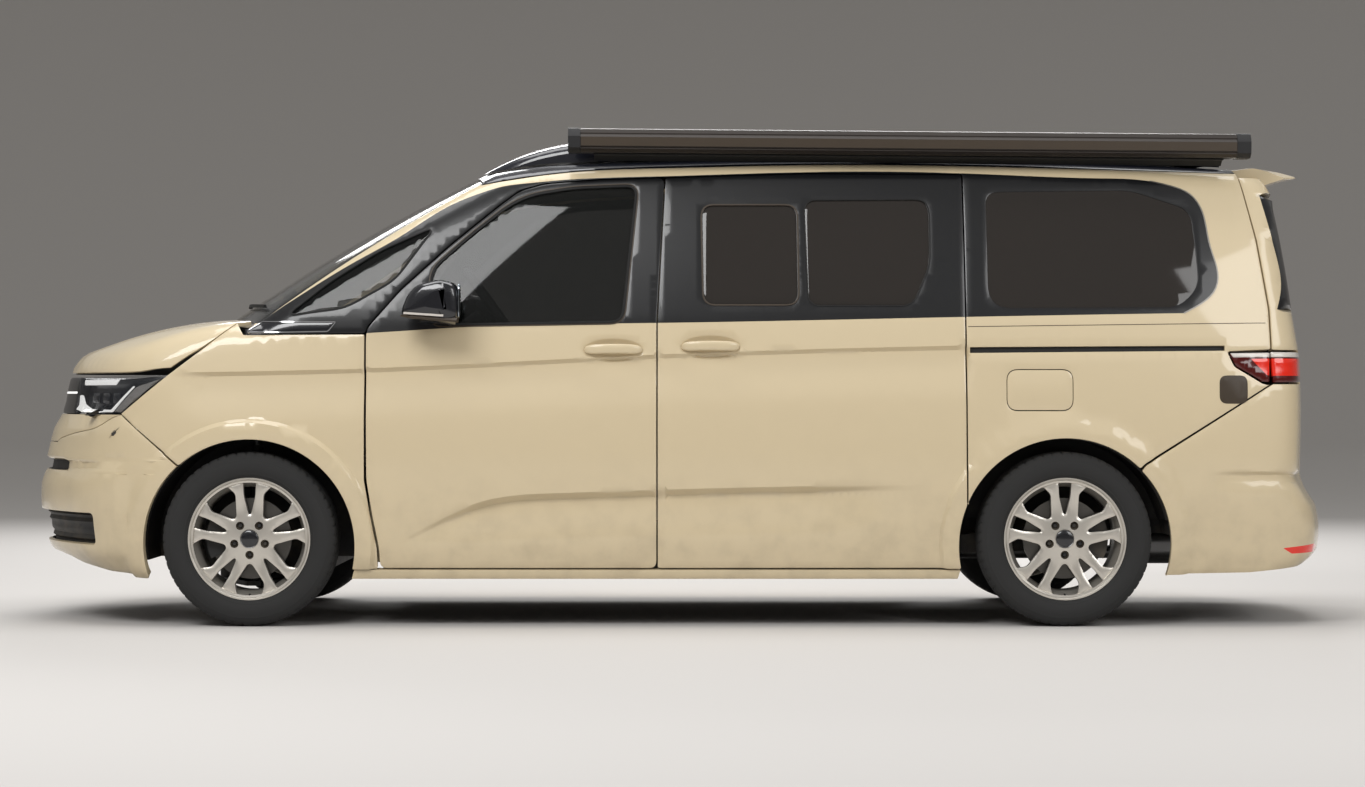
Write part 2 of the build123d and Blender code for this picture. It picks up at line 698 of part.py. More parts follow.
# Engine, subframe, exhaust and tank
with BuildPart() as engine:
    add(block((-2130, -340, 345), (-1560, 340, 930)))
save(engine.part, "engine")

ARM_LOW, ARM_HIGH = 148.0, 166.0
SUBFRAME_LOW, SUBFRAME_HIGH = 200.0, 300.0
kingpin_rise = Vector(0, BALL_JOINT[0] - STRUT_TOP[0], STRUT_TOP[1] - BALL_JOINT[1]).normalized()


def kingpin_plane(z):
    """The plane square to the left kingpin axis where that axis is at height z."""
    y = -BALL_JOINT[0] + (z - BALL_JOINT[1]) * kingpin_rise.Y / kingpin_rise.Z
    return Plane(origin=(FRONT_AXLE_X, y, z), x_dir=(1, 0, 0), z_dir=kingpin_rise)


with BuildPart() as front_arm:
    with BuildSketch(Plane.XY.offset(ARM_LOW)):
        with BuildLine():
            Polyline(
                (FRONT_AXLE_X - 27, -790), (FRONT_AXLE_X + 27, -790), (FRONT_AXLE_X + 175, -440),
                (FRONT_AXLE_X + 100, -440), (FRONT_AXLE_X, -690), (FRONT_AXLE_X - 100, -440),
                (FRONT_AXLE_X - 175, -440), close=True,
            )
        make_face()
    extrude(amount=ARM_HIGH - ARM_LOW)
    with BuildSketch(Plane.XY.offset(ARM_LOW)):
        with Locations((FRONT_AXLE_X + 138, -450), (FRONT_AXLE_X - 138, -450)):
            Circle(36)
    extrude(amount=SUBFRAME_LOW - ARM_LOW)
    with BuildSketch(kingpin_plane(160)):
        Circle(10)
    extrude(amount=42)

with BuildPart() as front_subframe:
    add(block((FRONT_AXLE_X - 270, -485, SUBFRAME_LOW), (FRONT_AXLE_X + 270, 485, SUBFRAME_HIGH)))
    add(block((FRONT_AXLE_X - 190, -330, 150), (FRONT_AXLE_X + 190, 330, 350)), mode=Mode.SUBTRACT)
    add(front_arm.part)
    add(across(front_arm.part))
save(front_subframe.part, "front_subframe")

with BuildPart() as strut_rods:
    with BuildSketch(kingpin_plane(640)):
        Circle(ROD_R)
    extrude(amount=74)
    add(round_bar(FRONT_AXLE_X, ARCH_Z, ARCH_R, 500, 1000), mode=Mode.INTERSECT)
    mirror(about=Plane.XZ)
save(strut_rods.part, "strut_rods")

with BuildPart() as exhaust:
    with BuildSketch(Plane.YZ.offset(-1340)):
        with Locations((250, 232)):
            Circle(27)
    extrude(amount=3310)
    with BuildSketch(Plane.YZ.offset(1950)):
        with Locations((330, 262)):
            RectangleRounded(420, 150, 60)
    extrude(amount=380)
save(exhaust.part, "exhaust")

with BuildPart() as fuel_tank:
    add(block((100, -640, 195), (880, -60, FLOOR_BOTTOM)))
    fillet(fuel_tank.edges().group_by(Axis.Z)[0], 40)
save(fuel_tank.part, "fuel_tank")


# Axles: knuckles and rear carriers
def disc_sector(axle_x, towards, inner, outer, near, far, half_angle=27.0):
    """A sector of a ring round the wheel's axis; towards is -1 for forwards and 1 for rearwards."""
    start = 180 if towards < 0 else 0
    with BuildPart() as sector:
        with BuildSketch(Plane(origin=(axle_x, -near, TYRE_R), x_dir=(1, 0, 0), z_dir=(0, -1, 0))):
            Circle(outer)
            Circle(inner, mode=Mode.SUBTRACT)
            with BuildSketch(mode=Mode.INTERSECT):
                with BuildLine():
                    reach = 2 * outer
                    a, b = radians(start - half_angle), radians(start + half_angle)
                    Polyline((0, 0), (reach * cos(a), reach * sin(a)), (reach * cos(b), reach * sin(b)), close=True)
                make_face()
        extrude(amount=far - near)
    return sector.part


def caliper(axle_x, towards):
    """A caliper round the disc's edge, and the arm that carries it."""
    body = disc_sector(axle_x, towards, 98, 170, 826, 881)
    body -= disc_sector(axle_x, towards, 90, 161, 840.5, 868.5, 40)
    body += disc_sector(axle_x, towards, 98, 150, 770, 826, 16)
    body += disc_sector(axle_x, towards, 20, 110, 765, 795, 16)
    return body


DISC_NEAR, DISC_FAR = 846.0, 863.0
HUB_NEAR = 800.0
with BuildPart() as knuckle:
    with BuildSketch(Plane(origin=(FRONT_AXLE_X, -752, TYRE_R), x_dir=(1, 0, 0), z_dir=(0, -1, 0))):
        with Locations((0, -136)):
            Circle(22)
        Circle(55)
        with Locations((0, 118)):
            Circle(28)
        make_hull()
    extrude(amount=43)
    add(round_bar(FRONT_AXLE_X, TYRE_R, SPINDLE_R, 790, 862))
    add(caliper(FRONT_AXLE_X, -1))
    with BuildSketch(kingpin_plane(177)):
        Circle(26)
    extrude(amount=32)
    with BuildSketch(kingpin_plane(405)):
        Circle(STRUT_R)
    extrude(amount=286)
    with Locations((FRONT_AXLE_X, -742, 442)):
        Box(50, 50, 56)
    with BuildSketch(kingpin_plane(120)):
        Circle(10 + PIN_GAP)
    extrude(amount=92, mode=Mode.SUBTRACT)
    with BuildSketch(kingpin_plane(630)):
        Circle(ROD_R + PIN_GAP)
    extrude(amount=100, mode=Mode.SUBTRACT)
for side, turned in (("left", lambda part: part), ("right", across)):
    save(turned(knuckle.part), f"{side}_knuckle")

TRAILING_PIVOT = (REAR_AXLE_X - 440, 300)
with BuildPart() as rear_axle:
    with BuildSketch(Plane.XZ.offset(615)):
        with Locations(TRAILING_PIVOT):
            Circle(34)
        with Locations((REAR_AXLE_X, TYRE_R)):
            Circle(50)
        make_hull()
    extrude(amount=65)
    add(round_bar(REAR_AXLE_X, TYRE_R, 55, 680, 795))
    add(round_bar(REAR_AXLE_X, TYRE_R, SPINDLE_R, 790, 862))
    add(caliper(REAR_AXLE_X, 1))
    mirror(about=Plane.XZ)
    add(round_bar(*TRAILING_PIVOT, 34, -620, 620))
save(rear_axle.part, "rear_axle")


# Wheels
def wheel_section(points, corner=0.0):
    """A ring turned about the wheel's axis from a section given as (radius, offset outboard)."""
    with BuildPart() as ring:
        with BuildSketch(Plane.XY):
            with BuildLine():
                Polyline(*points, close=True)
            make_face()
            if corner:
                fillet(vertices(), corner)
        revolve(axis=Axis.Y)
    return ring.part


half_tread = TREAD_WIDTH / 2
half_rim = RIM_WIDTH / 2
half_tyre = TYRE_WIDTH / 2
with BuildPart() as tyre:
    with BuildSketch(Plane.XY):
        with BuildLine():
            Line((BEAD_R, -half_rim + 8), (BEAD_R, half_rim - 8))
            Line((BEAD_R, half_rim - 8), (FLANGE_R, half_rim - 4))
            ThreePointArc((FLANGE_R, half_rim - 4), (276, half_tyre), (320, half_tread + 5))
            ThreePointArc((320, half_tread + 5), (329, half_tread - 4), (332, half_tread - 22))
            ThreePointArc((332, half_tread - 22), (TYRE_R, 0), (332, 22 - half_tread))
            ThreePointArc((332, 22 - half_tread), (329, 4 - half_tread), (320, -half_tread - 5))
            ThreePointArc((320, -half_tread - 5), (276, -half_tyre), (FLANGE_R, 4 - half_rim))
            Line((FLANGE_R, 4 - half_rim), (BEAD_R, 8 - half_rim))
        make_face()
    revolve(axis=Axis.Y)

BARREL = [
    (BEAD_R, half_rim - 8), (FLANGE_R, half_rim - 4), (FLANGE_R, half_rim), (FLANGE_R - 6, half_rim),
    (FLANGE_R - 22, half_rim - 7), (206, half_rim - 14), (186, 58), (186, 30), (199, 15),
    (199, -half_rim + 21), (209, -half_rim + 7), (FLANGE_R - 8, -half_rim), (FLANGE_R, -half_rim), (FLANGE_R, 4 - half_rim),
    (BEAD_R, 8 - half_rim),
]
SPOKE_FACE = [(0, 92), (60, 84), (120, 84), (185, 92), (206, 88), (206, 60), (160, 55), (90, 52), (0, 50)]
with BuildPart() as spokes:
    with BuildSketch(Plane.XZ.offset(-20)):
        for pair in range(SPOKE_PAIRS):
            turn = 90 + pair * 360 / SPOKE_PAIRS
            for spread in (-1, 1):
                corners = [(50, spread * 6), (50, spread * 40), (210, spread * 62), (210, spread * 27)]
                with BuildLine():
                    Polyline(*(Vector(*corner).rotate(Axis.Z, turn) for corner in corners), close=True)
                make_face()
        Circle(76)
    extrude(amount=-100)
    add(wheel_section(SPOKE_FACE), mode=Mode.INTERSECT)

with BuildPart() as rim:
    add(wheel_section(BARREL))
    add(spokes.part)

HAT = [
    (SPINDLE_R + FIT, HUB_NEAR - WHEEL_Y), (52, HUB_NEAR - WHEEL_Y), (52, 36), (82, 36),
    (82, DISC_NEAR - WHEEL_Y), (DISC_R, DISC_NEAR - WHEEL_Y), (DISC_R, DISC_FAR - WHEEL_Y), (92, DISC_FAR - WHEEL_Y),
    (92, 50), (SPINDLE_R + FIT, 50),
]
disc = wheel_section(HAT)

for axle, axle_x in (("front", FRONT_AXLE_X), ("rear", REAR_AXLE_X)):
    for side, sign in (("left", -1), ("right", 1)):
        place = Location((axle_x, sign * WHEEL_Y, TYRE_R))
        for name, piece in (("tyre", tyre.part), ("rim", rim.part), ("disc", disc)):
            turned = piece if sign > 0 else across(piece)
            save(turned.moved(place), f"{axle}_{side}_{name}")
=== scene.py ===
"""Looks of a camper van with a pop-up roof and a side awning.

The frame gives every piece at its place. This script dresses those pieces and makes the
painted body skin, the glass, lamps, trims, handles, wheels and seats as finer surfaces that
stand for them. Lengths are metres. X runs rearwards, Y to the vehicle's right and Z up, so
the left side faces -Y.
"""

import logging
import math
from dataclasses import dataclass
from enum import Enum
from typing import Callable, Optional, Sequence

import bmesh
import bpy
import numpy as np
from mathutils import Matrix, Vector
from mathutils.geometry import delaunay_2d_cdt


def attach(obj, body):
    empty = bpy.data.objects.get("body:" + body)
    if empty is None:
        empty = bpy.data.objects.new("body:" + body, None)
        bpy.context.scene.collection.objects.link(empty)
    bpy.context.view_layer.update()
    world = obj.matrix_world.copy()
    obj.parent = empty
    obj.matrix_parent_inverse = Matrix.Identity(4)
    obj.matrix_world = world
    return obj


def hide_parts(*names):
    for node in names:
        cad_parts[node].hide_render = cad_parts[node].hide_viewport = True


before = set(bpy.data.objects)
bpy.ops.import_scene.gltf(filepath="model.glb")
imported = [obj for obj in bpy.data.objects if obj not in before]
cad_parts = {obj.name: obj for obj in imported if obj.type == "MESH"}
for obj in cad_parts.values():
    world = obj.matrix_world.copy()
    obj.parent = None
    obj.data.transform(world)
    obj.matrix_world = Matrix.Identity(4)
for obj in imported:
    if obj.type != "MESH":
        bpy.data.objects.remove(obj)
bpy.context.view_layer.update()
LOG = logging.getLogger("camper_van")
Array = np.ndarray
Points = Sequence[tuple[float, ...]]


class Side(Enum):
    """The two sides of the vehicle, with the sign of Y."""

    LEFT = -1
    RIGHT = 1

    @property
    def word(self) -> str:
        """The side's name, as the frame spells it."""
        return self.name.lower()


BOTH = (Side.LEFT, Side.RIGHT)


def linear(colour: str) -> tuple[float, float, float, float]:
    """Turns an sRGB hex colour into linear RGBA.

    Args:
        colour: six hex digits after a hash sign.

    Returns:
        Linear red, green and blue, and an alpha of 1.
    """
    channels = np.array([int(colour[i : i + 2], 16) / 255 for i in (1, 3, 5)])
    light = np.where(channels <= 0.04045, channels / 12.92, ((channels + 0.055) / 1.055) ** 2.4)
    return (*light.tolist(), 1.0)


class Graph:
    """The node tree of one material, with a single way to add a node."""

    def __init__(self, name: str) -> None:
        """Starts a material with a Principled surface."""
        self.material = bpy.data.materials.new(name)
        self.material.use_nodes = True
        self.tree = self.material.node_tree
        self.tree.nodes.clear()
        output = self.add("ShaderNodeOutputMaterial")
        self.surface = self.add("ShaderNodeBsdfPrincipled")
        self.tree.links.new(self.surface.outputs[0], output.inputs[0])

    def add(self, kind: str, settings: Optional[dict] = None, **inputs: object) -> bpy.types.Node:
        """Adds a node, sets its properties and feeds its inputs.

        Args:
            kind: Blender's name for the node type.
            settings: properties of the node itself.
            inputs: a socket to link, or a value, for each input by its name, with _ for a
                space, or by its position, such as i0.

        Returns:
            The new node.
        """
        node = self.tree.nodes.new(kind)
        for key, value in (settings or {}).items():
            setattr(node, key, value)
        self.feed(node, **inputs)
        return node

    def feed(self, node: bpy.types.Node, **inputs: object) -> None:
        """Links or sets the inputs of a node that exists."""
        for key, value in inputs.items():
            numbered = key[0] == "i" and key[1:].isdigit()
            socket = node.inputs[int(key[1:])] if numbered else node.inputs[key.replace("_", " ")]
            if isinstance(value, bpy.types.NodeSocket):
                self.tree.links.new(value, socket)
            else:
                socket.default_value = value

    def math(self, operation: str, *values: object, clamp: bool = False) -> bpy.types.NodeSocket:
        """A Math node's output for an operation on sockets or numbers."""
        inputs = {f"i{index}": value for index, value in enumerate(values)}
        return self.add("ShaderNodeMath", {"operation": operation, "use_clamp": clamp}, **inputs).outputs[0]

    def place(self) -> bpy.types.NodeSocket:
        """The point's place on the object, in metres."""
        return self.add("ShaderNodeTexCoord").outputs["Object"]

    def noise(
        self, size: float, detail: float = 3.0, stretch: tuple[float, float, float] = (1, 1, 1)
    ) -> bpy.types.NodeSocket:
        """Even noise whose lumps are about size metres across, times stretch along each axis."""
        scale = tuple(1 / (size * factor) for factor in stretch)
        mapped = self.add("ShaderNodeMapping", i0=self.place(), i3=scale)
        node = self.add(
            "ShaderNodeTexNoise", {"noise_dimensions": "3D"}, Vector=mapped.outputs[0], Scale=1.0,
            Detail=detail
        )
        return node.outputs[0]

    def bump(self, height: bpy.types.NodeSocket, depth: float) -> None:
        """Feeds the surface's normal with a height pattern that is depth metres deep."""
        node = self.add("ShaderNodeBump", Height=height, Distance=depth, Strength=1.0)
        self.feed(self.surface, Normal=node.outputs[0])

    def blend(self, share: object, first: object, second: object) -> bpy.types.NodeSocket:
        """A colour between first and second by share."""
        node = self.add("ShaderNodeMix", {"data_type": "RGBA"})
        self.feed(node, i0=share, i6=first, i7=second)
        return node.outputs[2]

    def within(self, value: bpy.types.NodeSocket, low: float, high: float) -> bpy.types.NodeSocket:
        """A share that rises smoothly from 0 at low to 1 at high."""
        settings = {"interpolation_type": "SMOOTHSTEP"}
        return self.add("ShaderNodeMapRange", settings, i0=value, i1=low, i2=high).outputs[0]

    def height_above_floor(self) -> bpy.types.NodeSocket:
        """The point's Z on the object, in metres."""
        return self.add("ShaderNodeSeparateXYZ", i0=self.place()).outputs[2]


@dataclass(frozen=True)
class Finish:
    """A finish of one colour that varies a little over the surface.

    Attributes:
        name: the material's common name.
        colour: sRGB hex of the middle tone.
        roughness: mean roughness.
        metallic: 1 for bare metal.
        coat: weight of a clear layer on top.
        grain: size of the surface texture in metres, or 0 for none.
        depth: depth of that texture in metres.
        spread: how far the colour varies, as a share.
        alpha: how much of what is behind the surface it hides.
        dust: share of road dust low on the surface.
        glow: strength of its own light.
        ior: refractive index, where it isn't a metal.
    """

    name: str
    colour: str
    roughness: float = 0.5
    metallic: float = 0.0
    coat: float = 0.0
    grain: float = 0.0
    depth: float = 0.0
    spread: float = 0.06
    alpha: float = 1.0
    dust: float = 0.0
    glow: float = 0.0
    ior: float = 1.5

    def build(self) -> bpy.types.Material:
        """Makes the material, once for each finish."""
        if self.name in bpy.data.materials:
            return bpy.data.materials[self.name]
        graph = Graph(self.name)
        self.dress(graph, self.tone(graph))
        return graph.material

    def tone(self, graph: Graph) -> bpy.types.NodeSocket:
        """The colour with a soft cloudy variation a few centimetres across, and dust low down."""
        base = linear(self.colour)
        low = tuple(value * (1 - self.spread) for value in base[:3]) + (1.0,)
        high = tuple(min(value * (1 + self.spread), 1.0) for value in base[:3]) + (1.0,)
        colour = graph.blend(graph.noise(0.06), low, high)
        if self.dust:
            low_down = graph.math("SUBTRACT", 1.0, graph.within(graph.height_above_floor(), 0.15, 0.75))
            patch = graph.math("MULTIPLY", low_down, graph.within(graph.noise(0.09, 6.0), 0.35, 0.8))
            share = graph.math("MULTIPLY", patch, self.dust)
            colour = graph.blend(share, colour, linear("#8f8067"))
        return colour

    def dress(self, graph: Graph, colour: bpy.types.NodeSocket) -> None:
        """Feeds the surface with the colour, gloss and texture."""
        surface = graph.surface
        graph.feed(
            surface, Base_Color=colour, Metallic=self.metallic, Coat_Weight=self.coat, Alpha=self.alpha
        )
        graph.feed(surface, Coat_Roughness=0.06)
        if self.metallic < 0.5:
            graph.feed(surface, IOR=self.ior)
        if self.glow:
            graph.feed(surface, Emission_Color=linear(self.colour), Emission_Strength=self.glow)
        rough = graph.math("MULTIPLY_ADD", graph.noise(0.02), 0.2 * self.roughness, 0.9 * self.roughness)
        graph.feed(surface, Roughness=rough)
        if self.grain:
            graph.bump(graph.noise(self.grain), self.depth)


@dataclass(frozen=True)
class Woven(Finish):
    """A woven cloth: two crossed sets of threads, on the cloth's own threads' spacing."""

    thread: float = 0.004

    def dress(self, graph: Graph, colour: bpy.types.NodeSocket) -> None:
        """Feeds the surface with crossed waves, a soft sheen and a dull surface."""
        turns = ((0.0, 0.0, 0.0), (0.0, 0.0, math.pi / 2))
        waves = []
        for turn in turns:
            mapped = graph.add("ShaderNodeMapping", i0=graph.place(), i2=turn)
            # Blender's wave repeats every pi / (10 * scale) of a unit
            wave = graph.add(
                "ShaderNodeTexWave", Vector=mapped.outputs[0], Scale=math.pi / 10 / self.thread,
                Distortion=0.6, Detail=1.0
            )
            waves.append(wave.outputs[1])
        weave = graph.math("MULTIPLY", *waves)
        shade = graph.blend(
            weave, linear(self.colour), tuple(v * 1.9 for v in linear(self.colour)[:3]) + (1.0,)
        )
        graph.feed(graph.surface, Base_Color=shade, Roughness=self.roughness, Sheen_Weight=0.35)
        graph.bump(weave, self.depth)


@dataclass(frozen=True)
class Tread(Finish):
    """Tyre rubber: dull black, browned by dust where it meets the road."""

    def dress(self, graph: Graph, colour: bpy.types.NodeSocket) -> None:
        """Adds a dusty bloom to the rubber."""
        bloom = graph.math("MULTIPLY", graph.within(graph.noise(0.05, 8.0), 0.3, 0.75), 0.28)
        super().dress(graph, graph.blend(bloom, colour, linear("#2e271d")))


# What each finish is, and what that gives the eye
# Two-pack solid paint under clear lacquer: an even sand tone with a sharp upper reflection
PAINT = Finish("lacquered_steel_sand", "#d2c19f", 0.5, coat=0.85, spread=0.012, dust=0.3)
# The same paint dipped and unpolished inside, where lamps seldom reach; its dark grey there is painted shade
INSIDE_SHADE = Finish("inside_painted_shade", "#3b3936", 0.75, grain=0.002, depth=0.00003)
# Black lacquer on glass edges and pillars: near black with a clear mirror on top
BAND = Finish("fired_black_enamel", "#0d0e11", 0.30, coat=0.3, spread=0.06)
GLOSS_BLACK = Finish("lacquered_black", "#0d0f16", 0.22, coat=0.8, spread=0.08)
# Gel-coated glass fibre: dark blue black, smooth with a slight wave
ROOF = Finish("gelcoat_midnight", "#10131f", 0.25, coat=0.7, spread=0.08)
# Anodised extrusion: a fine matt brown black with a soft metal sheen
ANODISED = Finish(
    "anodised_aluminium_umber", "#2f2925", 0.42, metallic=0.35, spread=0.08, grain=0.0008, depth=0.00001
)
SATIN = Finish("anodised_aluminium_satin", "#8f8b86", 0.35, metallic=0.9, spread=0.04)
# Injection-moulded polypropylene with a leather grain, which kills its gloss
GRAINED = Finish("grained_polypropylene", "#141416", 0.62, grain=0.0012, depth=0.0001, dust=0.25)
SOFT_TRIM = Finish("soft_touch_polyurethane", "#232327", 0.7, grain=0.001, depth=0.0001)
PALE_TRIM = Finish("headliner_felt", "#8d8982", 0.9, grain=0.0015, depth=0.0002)
UMBER_TRIM = Finish("moulded_abs_umber", "#3a2f22", 0.45, grain=0.001, depth=0.00003)
SEAL = Finish("epdm_rubber", "#0b0b0b", 0.75)
RUBBER = Tread("tyre_rubber", "#0b0908", 0.86, grain=0.0015, depth=0.0001)
# Cast and lacquered wheel: pale satin metal, with a darker grey in its bolt recesses and on the back of its
# face that is painted shade
ALLOY = Finish("lacquered_cast_aluminium", "#d2cdc4", 0.30, metallic=0.75, coat=0.3, spread=0.03, dust=0.06)
ALLOY_SHADE = Finish("painted_cast_aluminium", "#6f675b", 0.5, metallic=0.6, spread=0.05)
IRON = Finish("turned_cast_iron", "#5f5d5a", 0.38, metallic=0.9, spread=0.12)
CASTING = Finish("sand_cast_aluminium", "#8d8b88", 0.6, metallic=0.8, grain=0.002, depth=0.0002)
STEEL = Finish("coated_steel_black", "#161617", 0.6, grain=0.003, depth=0.0001, dust=0.2)
BRIGHT = Finish("bare_steel", "#8b8b8c", 0.35, metallic=1.0)
CHROME = Finish("chromed_abs", "#c9c9cb", 0.12, metallic=1.0, spread=0.02)
UNDERSEAL = Finish("sprayed_underseal", "#1a1a1b", 0.85, grain=0.003, depth=0.0004, dust=0.4)
BOARD = Finish("laminated_board", "#6f6b64", 0.5, grain=0.002, depth=0.00003)
FABRIC = Woven("woven_upholstery", "#232428", 0.9, depth=0.0006)
# Toughened glass with a smoke tint: dark, mirror smooth, and partly clear
PRIVACY = Finish("privacy_glass", "#2b2724", 0.04, spread=0.02, alpha=0.96)
TINTED = Finish("tinted_glass", "#101211", 0.02, spread=0.02, alpha=0.52)
SCREEN = Finish("laminated_glass", "#14181a", 0.02, spread=0.02, alpha=0.42)
CLEAR_LENS = Finish("polycarbonate_lens", "#3a3d42", 0.03, spread=0.02, alpha=0.22)
LIGHT_GUIDE = Finish("acrylic_light_guide", "#f4f4f2", 0.3, glow=0.75, spread=0.01)
PEARL_LENS = Finish("frosted_polycarbonate", "#cfc9c2", 0.2, coat=0.4, spread=0.03)
# Red acrylic glows a little: lamp light in the tail lamps, and painted light on the bumper's reflectors,
# which are no lamps
RED = Finish("red_acrylic", "#d8240f", 0.12, coat=0.6, spread=0.06, glow=0.12)
DARK_RED = Finish("dark_red_acrylic", "#4c0806", 0.1, coat=0.6, spread=0.1)
AMBER_LENS = Finish("ribbed_polycarbonate", "#a9a6a3", 0.15, coat=0.5)
MIRROR_GLASS = Finish("silvered_glass", "#9da4ab", 0.03, metallic=1.0, spread=0.01)


# Form of the body skin

class Spline:
    """A natural cubic curve through points: twice smooth, straight at its ends."""

    def __init__(self, at: Sequence[float], values: Sequence[float]) -> None:
        """Solves the second derivatives at the points.

        Args:
            at: where the points are, rising.
            values: the curve's values there.
        """
        self.at, self.values = np.array(at, float), np.array(values, float)
        step = np.diff(self.at)
        count = len(self.at)
        system = np.eye(count)
        right = np.zeros(count)
        inner = np.arange(1, count - 1)
        system[inner, inner - 1] = step[:-1]
        system[inner, inner] = 2 * (step[:-1] + step[1:])
        system[inner, inner + 1] = step[1:]
        slope = np.diff(self.values) / step
        right[1:-1] = 6 * np.diff(slope)
        self.second = np.linalg.solve(system, right)

    def __call__(self, at: Array) -> Array:
        """The curve's value, held straight past its ends."""
        at = np.asarray(at, float)
        inside = np.clip(at, self.at[0], self.at[-1])
        low = np.clip(np.searchsorted(self.at, inside) - 1, 0, len(self.at) - 2)
        step = self.at[low + 1] - self.at[low]
        a = (self.at[low + 1] - inside) / step
        b = 1 - a
        bend = ((a**3 - a) * self.second[low] + (b**3 - b) * self.second[low + 1]) * step**2 / 6
        return a * self.values[low] + b * self.values[low + 1] + bend


def arc_value(at: Array, start: tuple, via: tuple, end: tuple) -> Array:
    """The height of the circular arc through three points, each given as (place, height).

    The circle's centre comes from the three points' equal distances, and the height is the
    centre's, plus or minus the root of the radius squared less the offset squared.
    """
    (t0, v0), (t1, v1), (t2, v2) = start, via, end
    turn = 2 * (t0 * (v1 - v2) + t1 * (v2 - v0) + t2 * (v0 - v1))
    turn = np.where(np.abs(turn) < 1e-9, 1e-9, turn)
    s0, s1, s2 = t0**2 + v0**2, t1**2 + v1**2, t2**2 + v2**2
    centre_t = (s0 * (v1 - v2) + s1 * (v2 - v0) + s2 * (v0 - v1)) / turn
    centre_v = (s0 * (t2 - t1) + s1 * (t0 - t2) + s2 * (t1 - t0)) / turn
    radius2 = (t0 - centre_t) ** 2 + (v0 - centre_v) ** 2
    rise = np.sqrt(np.maximum(radius2 - (at - centre_t) ** 2, 0))
    return centre_v + np.sign(v1 - centre_v) * rise


def line_value(at: Array, start: tuple, end: tuple) -> Array:
    """The height of the straight line between two points."""
    return start[1] + (at - start[0]) * (end[1] - start[1]) / (end[0] - start[0])


@dataclass(frozen=True)
class Edge:
    """The end of one edge of the side view: its place, an arc's middle, and its shift.

    Attributes:
        end: (x, z) of the edge's end on the centreline.
        via: (x, z) of a point that the arc passes, or None for a line.
        back: how far the end has moved rearwards one metre off the centreline.
        down: how far it has moved down there.
    """

    end: tuple[float, float]
    via: Optional[tuple[float, float]]
    back: float
    down: float


@dataclass(frozen=True)
class Outline:
    """A run of edges along one axis, whose other coordinate is a single-valued height.

    Attributes:
        along: 0 where the run goes along x, 1 where it goes along z.
        edges: the start, with no via, and then each edge.
        before: slope of the straight run before the first edge.
        after: slope of the straight run after the last edge.
    """

    along: int
    edges: Sequence[Edge]
    before: float
    after: float

    def shifted(self, point: tuple[float, float], back: Array, down: Array) -> tuple[Array, Array]:
        """A point moved rearwards and down, as (place, height)."""
        x, z = point[0] + back, point[1] - down
        return (x, z) if self.along == 0 else (z, x)

    def height(self, at: Array, share: Array) -> Array:
        """The run's height.

        Args:
            at: places along the run.
            share: the square of the distance off the centreline, in square metres.

        Returns:
            The other coordinate of the run there.
        """
        first = self.edges[0]
        start = self.shifted(first.end, first.back * share, first.down * share)
        height = start[1] + (at - start[0]) * self.before
        for last, edge in zip(self.edges, self.edges[1:]):
            end = self.shifted(edge.end, edge.back * share, edge.down * share)
            if edge.via:
                back, down = (last.back + edge.back) / 2, (last.down + edge.down) / 2
                via = self.shifted(edge.via, back * share, down * share)
                value = arc_value(at, start, via, end)
            else:
                value = line_value(at, start, end)
            height = np.where(at > start[0], value, height)
            start = end
        return np.where(at > start[0], start[1] + (at - start[0]) * self.after, height)


def smooth_least(a: Array, b: Array, reach: float) -> Array:
    """The lesser of two distances, rounded where they are within reach of each other."""
    near = np.maximum(reach - np.abs(a - b), 0) / reach
    return np.minimum(a, b) - near**2 * reach / 4


def ramp(value: Array, low: float, high: float) -> Array:
    """A share that rises smoothly from 0 at low to 1 at high."""
    t = np.clip((value - low) / (high - low), 0, 1)
    return t * t * (3 - 2 * t)


